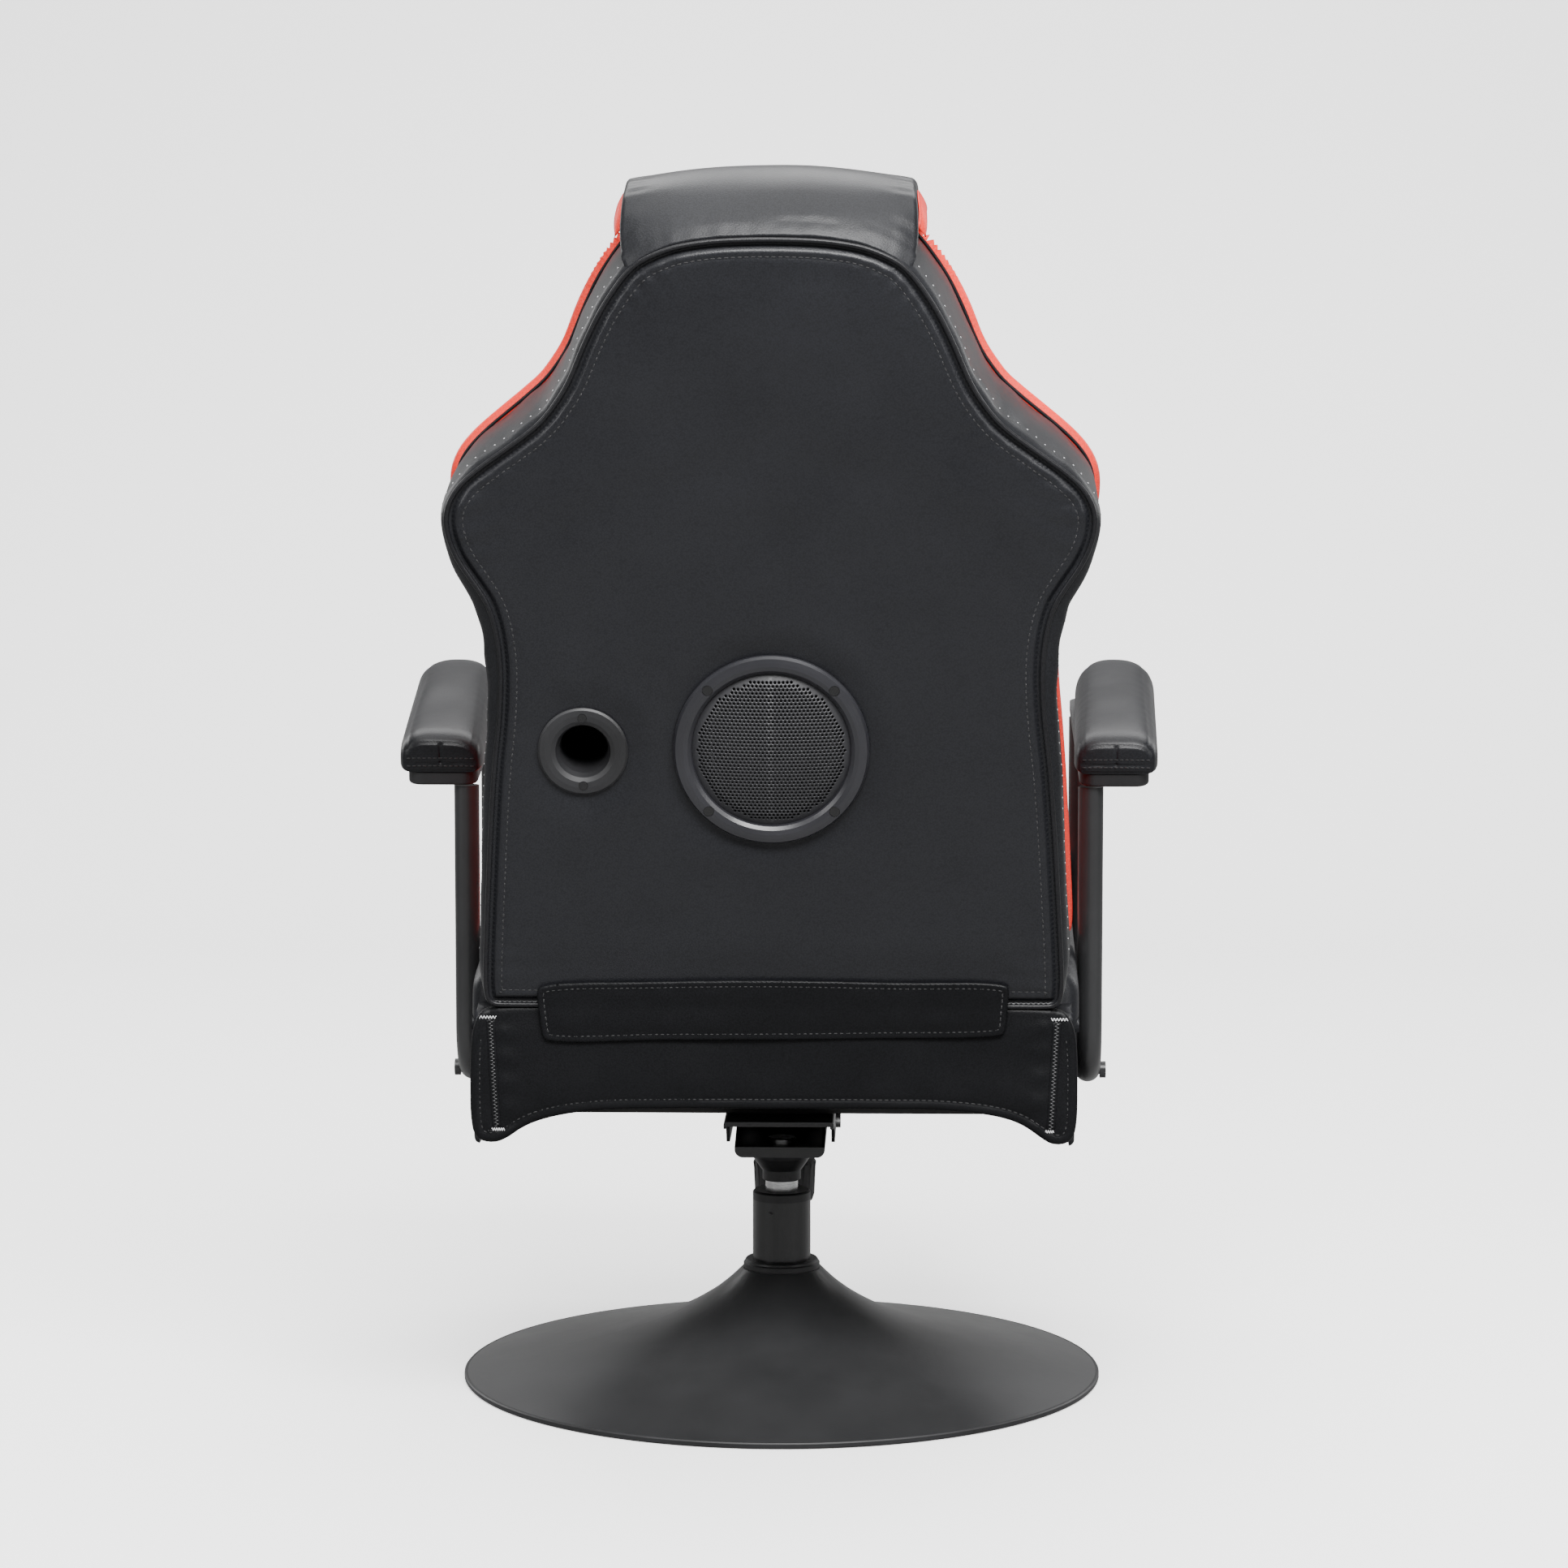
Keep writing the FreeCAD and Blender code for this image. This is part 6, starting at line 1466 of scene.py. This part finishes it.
def grille():
    pitch, hole_r, seg = 3.25, 1.08, 12
    rows = int(64 / (pitch * 0.866)) + 2
    verts, quads, cells = [], [], []
    rc = pitch / math.sqrt(3)
    index = {}

    def vid(p):
        key = (round(p[0], 3), round(p[1], 3))
        if key not in index:
            index[key] = len(verts)
            verts.append(p)
        return index[key]

    for j in range(-rows, rows + 1):
        for i in range(-rows, rows + 1):
            cx_ = (i + 0.5 * (j % 2)) * pitch
            cy_ = j * pitch * 0.8660254
            if math.hypot(cx_, cy_) > 58.6:
                continue
            corners = [(cx_ + rc * math.cos(math.radians(60 * a + 30)), cy_ + rc * math.sin(math.radians(60 * a + 30))) for a in range(6)]
            rim = []
            for a in range(6):
                p, q = corners[a], corners[(a + 1) % 6]
                rim += [p, ((p[0] + q[0]) / 2, (p[1] + q[1]) / 2)]
            outer = [vid(p) for p in rim]
            inner = []
            for a in range(seg):
                t = math.radians(30 + 30 * a)
                verts.append((cx_ + hole_r * math.cos(t), cy_ + hole_r * math.sin(t)))
                inner.append(len(verts) - 1)
            for a in range(seg):
                b = (a + 1) % seg
                quads.append((outer[a], outer[b], inner[b], inner[a]))
            cells.append(inner)
    # the ragged edge of the field of holes
    count = {}
    for q in quads:
        for a, b in zip(q, q[1:] + q[:1]):
            k = (min(a, b), max(a, b))
            count.setdefault(k, []).append((a, b))
    rim_edges = [v[0] for k, v in count.items() if len(v) == 1]
    holes = {i for c in cells for i in c}
    rim_edges = [e for e in rim_edges if e[0] not in holes and e[1] not in holes]
    used = sorted({i for e in rim_edges for i in e})
    loc = {g: i for i, g in enumerate(used)}
    pts = [verts[g] for g in used]
    base = len(pts)
    rings = []
    for r, n in ((61.2, 150), (63.0, 160), (64.6, 160), (66.2, 160)):
        rings.append([(r * math.cos(2 * math.pi * a / n), r * math.sin(2 * math.pi * a / n)) for a in range(n)])
    allp = pts + [p for r in rings for p in r]
    edges = [(loc[a], loc[b]) for a, b in rim_edges]
    off = base
    for r in rings:
        edges += [(off + i, off + (i + 1) % len(r)) for i in range(len(r))]
        off += len(r)
    res = delaunay_2d_cdt([Vector(p) for p in allp], edges, [], 0, 1e-6)
    v3 = [tuple(p) for p in res[0]]
    centres = np.array([np.mean([verts[i] for i in c], axis=0) for c in cells])
    tris = []
    for t in res[2]:
        c = np.mean([v3[i] for i in t], axis=0)
        if np.hypot(*c) > 66.2:
            continue
        # inside the hexagon of a cell: belongs to the field already
        dd = c - centres
        k = int(np.argmin(np.sum(dd * dd, axis=1)))
        x, y = abs(dd[k][0]), abs(dd[k][1])
        apothem = pitch / 2
        if x <= apothem + 1e-4 and (x * 0.5 + y * 0.8660254) <= apothem + 1e-4:
            continue
        tris.append(tuple(vid(v3[i]) for i in t))
    p = np.array(verts)
    r = np.hypot(p[:, 0], p[:, 1])
    d = np.where(r < 54, 12 - 5.2 * (r / 54) ** 2, 6.8 - (r - 54) * 0.4838)
    d = np.where(r > 62.6, np.maximum(1.9, 2.64 - (r - 62.6) * 0.5), d)
    top = back(p[:, 0], d, p[:, 1] + 213.0)
    low = back(p[:, 0], d - 0.75, p[:, 1] + 213.0)
    n = len(p)
    faces = list(quads) + tris
    solid = faces + [tuple(i + n for i in f[::-1]) for f in faces]
    cnt = {}
    for f in faces:
        for a, b in zip(f, tuple(f[1:]) + (f[0],)):
            cnt.setdefault((min(a, b), max(a, b)), []).append((a, b))
    for k, v in cnt.items():
        if len(v) == 1:
            a, b = v[0]
            solid.append((b, a, a + n, b + n))
    ob = solid_from("speaker_grille", np.vstack([top, low]), solid, GRILLE_STEEL, "seat", "black_steel")
    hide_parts("woofer_grille")


GRILLE_STEEL = powder("grille_black", (0.012, 0.012, 0.014), (0.02, 0.02, 0.023), (0.4, 0.5))
grille()

# ------------------------------------------------------------------ tension spring

turn = np.linspace(0, 4.6 * 2 * math.pi, 300)
rise = np.clip((turn - 2.0) / (4.6 * 2 * math.pi - 4.0), 0, 1)
coil = np.stack([13.3 * np.cos(turn), -98 + 13.3 * np.sin(turn), 174.1 + 24.0 * rise], axis=1) * MM
spring = tube("spring_coil", coil, 1.55 * MM, DARK_STEEL, "swivel", "black_steel", segs=10)
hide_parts("tension_spring")
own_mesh(spring)

# ------------------------------------------------------------------ room, light and camera


def build_stage():
    me = bpy.data.meshes.new("floor")
    pts, fcs = [], []
    # a floor that curves up into a backdrop on the side away from the camera
    prof = [(6.0, 0.0), (-2.6, 0.0)] + [(-2.6 - 1.6 * math.sin(t), 1.6 - 1.6 * math.cos(t)) for t in np.linspace(0.1, math.pi / 2, 12)] + [(-4.2, 6.0)]
    for x in (-7.0, 7.0):
        pts += [(x, y, z - 0.0004) for y, z in prof]
    n = len(prof)
    fcs = [(i, i + 1, n + i + 1, n + i) for i in range(n - 1)]
    me.from_pydata(pts, [], fcs)
    me.polygons.foreach_set("use_smooth", [True] * len(me.polygons))
    n_ = Nodes("studio_white")
    n_.bsdf.inputs["Base Color"].default_value = (0.86, 0.86, 0.86, 1)
    n_.bsdf.inputs["Roughness"].default_value = 0.6
    # paler to the eye than in the light it throws back on the chair
    eye = n_.add("ShaderNodeLightPath")
    seen = n_.add("ShaderNodeMix", data_type="RGBA")
    seen.inputs["A"].default_value = (0.2, 0.2, 0.2, 1)
    seen.inputs["B"].default_value = (0.9, 0.9, 0.9, 1)
    n_.tree.links.new(eye.outputs["Is Camera Ray"], seen.inputs["Factor"])
    n_.tree.links.new(seen.outputs["Result"], n_.bsdf.inputs["Base Color"])
    glow = n_.math("MULTIPLY", (eye, "Is Camera Ray"), 0.9)
    n_.tree.links.new(glow.outputs["Value"], n_.bsdf.inputs["Emission Strength"])
    n_.bsdf.inputs["Emission Color"].default_value = (1, 1, 1, 1)
    me.materials.append(n_.mat)
    fl = bpy.data.objects.new("floor", me)
    bpy.context.collection.objects.link(fl)
    world = bpy.context.scene.world or bpy.data.worlds.new("studio")
    bpy.context.scene.world = world
    world.use_nodes = True
    bg = world.node_tree.nodes.get("Background") or world.node_tree.nodes.new("ShaderNodeBackground")
    bg.inputs[0].default_value = (1.0, 1.0, 1.0, 1)
    bg.inputs[1].default_value = 0.26
    # the backdrop beyond the floor looks paler than the light it gives
    wt = world.node_tree
    pale = wt.nodes.new("ShaderNodeBackground")
    pale.inputs[1].default_value = 2.4
    path = wt.nodes.new("ShaderNodeLightPath")
    blend_ = wt.nodes.new("ShaderNodeMixShader")
    wt.links.new(path.outputs["Is Camera Ray"], blend_.inputs[0])
    wt.links.new(bg.outputs[0], blend_.inputs[1])
    wt.links.new(pale.outputs[0], blend_.inputs[2])
    wt.links.new(blend_.outputs[0], next(n for n in wt.nodes if n.type == "OUTPUT_WORLD").inputs["Surface"])

    def area(name, loc, target, size, power):
        ld = bpy.data.lights.new(name, "AREA")
        ld.shape = "RECTANGLE"
        ld.size, ld.size_y = size
        ld.energy = power
        ob = bpy.data.objects.new(name, ld)
        ob.location = loc
        d = Vector(target) - Vector(loc)
        ob.rotation_euler = d.to_track_quat("-Z", "Y").to_euler()
        bpy.context.collection.objects.link(ob)

    area("key_left", (3.0, 2.2, 1.9), (0, 0.25, 0.6), (0.9, 1.8), 42)
    area("key_right", (-3.0, 2.2, 1.9), (0, 0.25, 0.6), (0.9, 1.8), 36)
    area("top", (0, 0.9, 3.4), (0, 0.3, 0.0), (3.4, 2.6), 105)
    area("sky", (-0.5, 2.3, 2.7), (0, 0.3, 1.0), (2.2, 1.0), 230)
    area("back_top", (0, -2.2, 3.6), (0, -1.6, 0.0), (4.6, 2.4), 200)
    area("front_left", (2.6, -2.4, 1.6), (0, 0, 0.6), (1.2, 1.8), 30)
    area("front_right", (-2.6, -2.4, 1.6), (0, 0, 0.6), (1.2, 1.8), 30)

    cam = bpy.data.cameras.new("camera")
    cam.sensor_width = 36.0
    cam.sensor_fit = "HORIZONTAL"
    cam.lens = 5780.0 / 1932.0 * 36.0
    cam.clip_end = 60
    ob = bpy.data.objects.new("camera", cam)
    ob.location = (-0.112, 3.998, 0.938)
    pitch = math.radians(6.06)
    d = Vector((-0.002 + 0.112, -3.998, 0.0))
    d.normalize()
    d = Vector((d.x * math.cos(pitch), d.y * math.cos(pitch), -math.sin(pitch)))
    ob.rotation_euler = d.to_track_quat("-Z", "Y").to_euler()
    bpy.context.collection.objects.link(ob)
    bpy.context.scene.camera = ob


dress_cad()
build_stage()
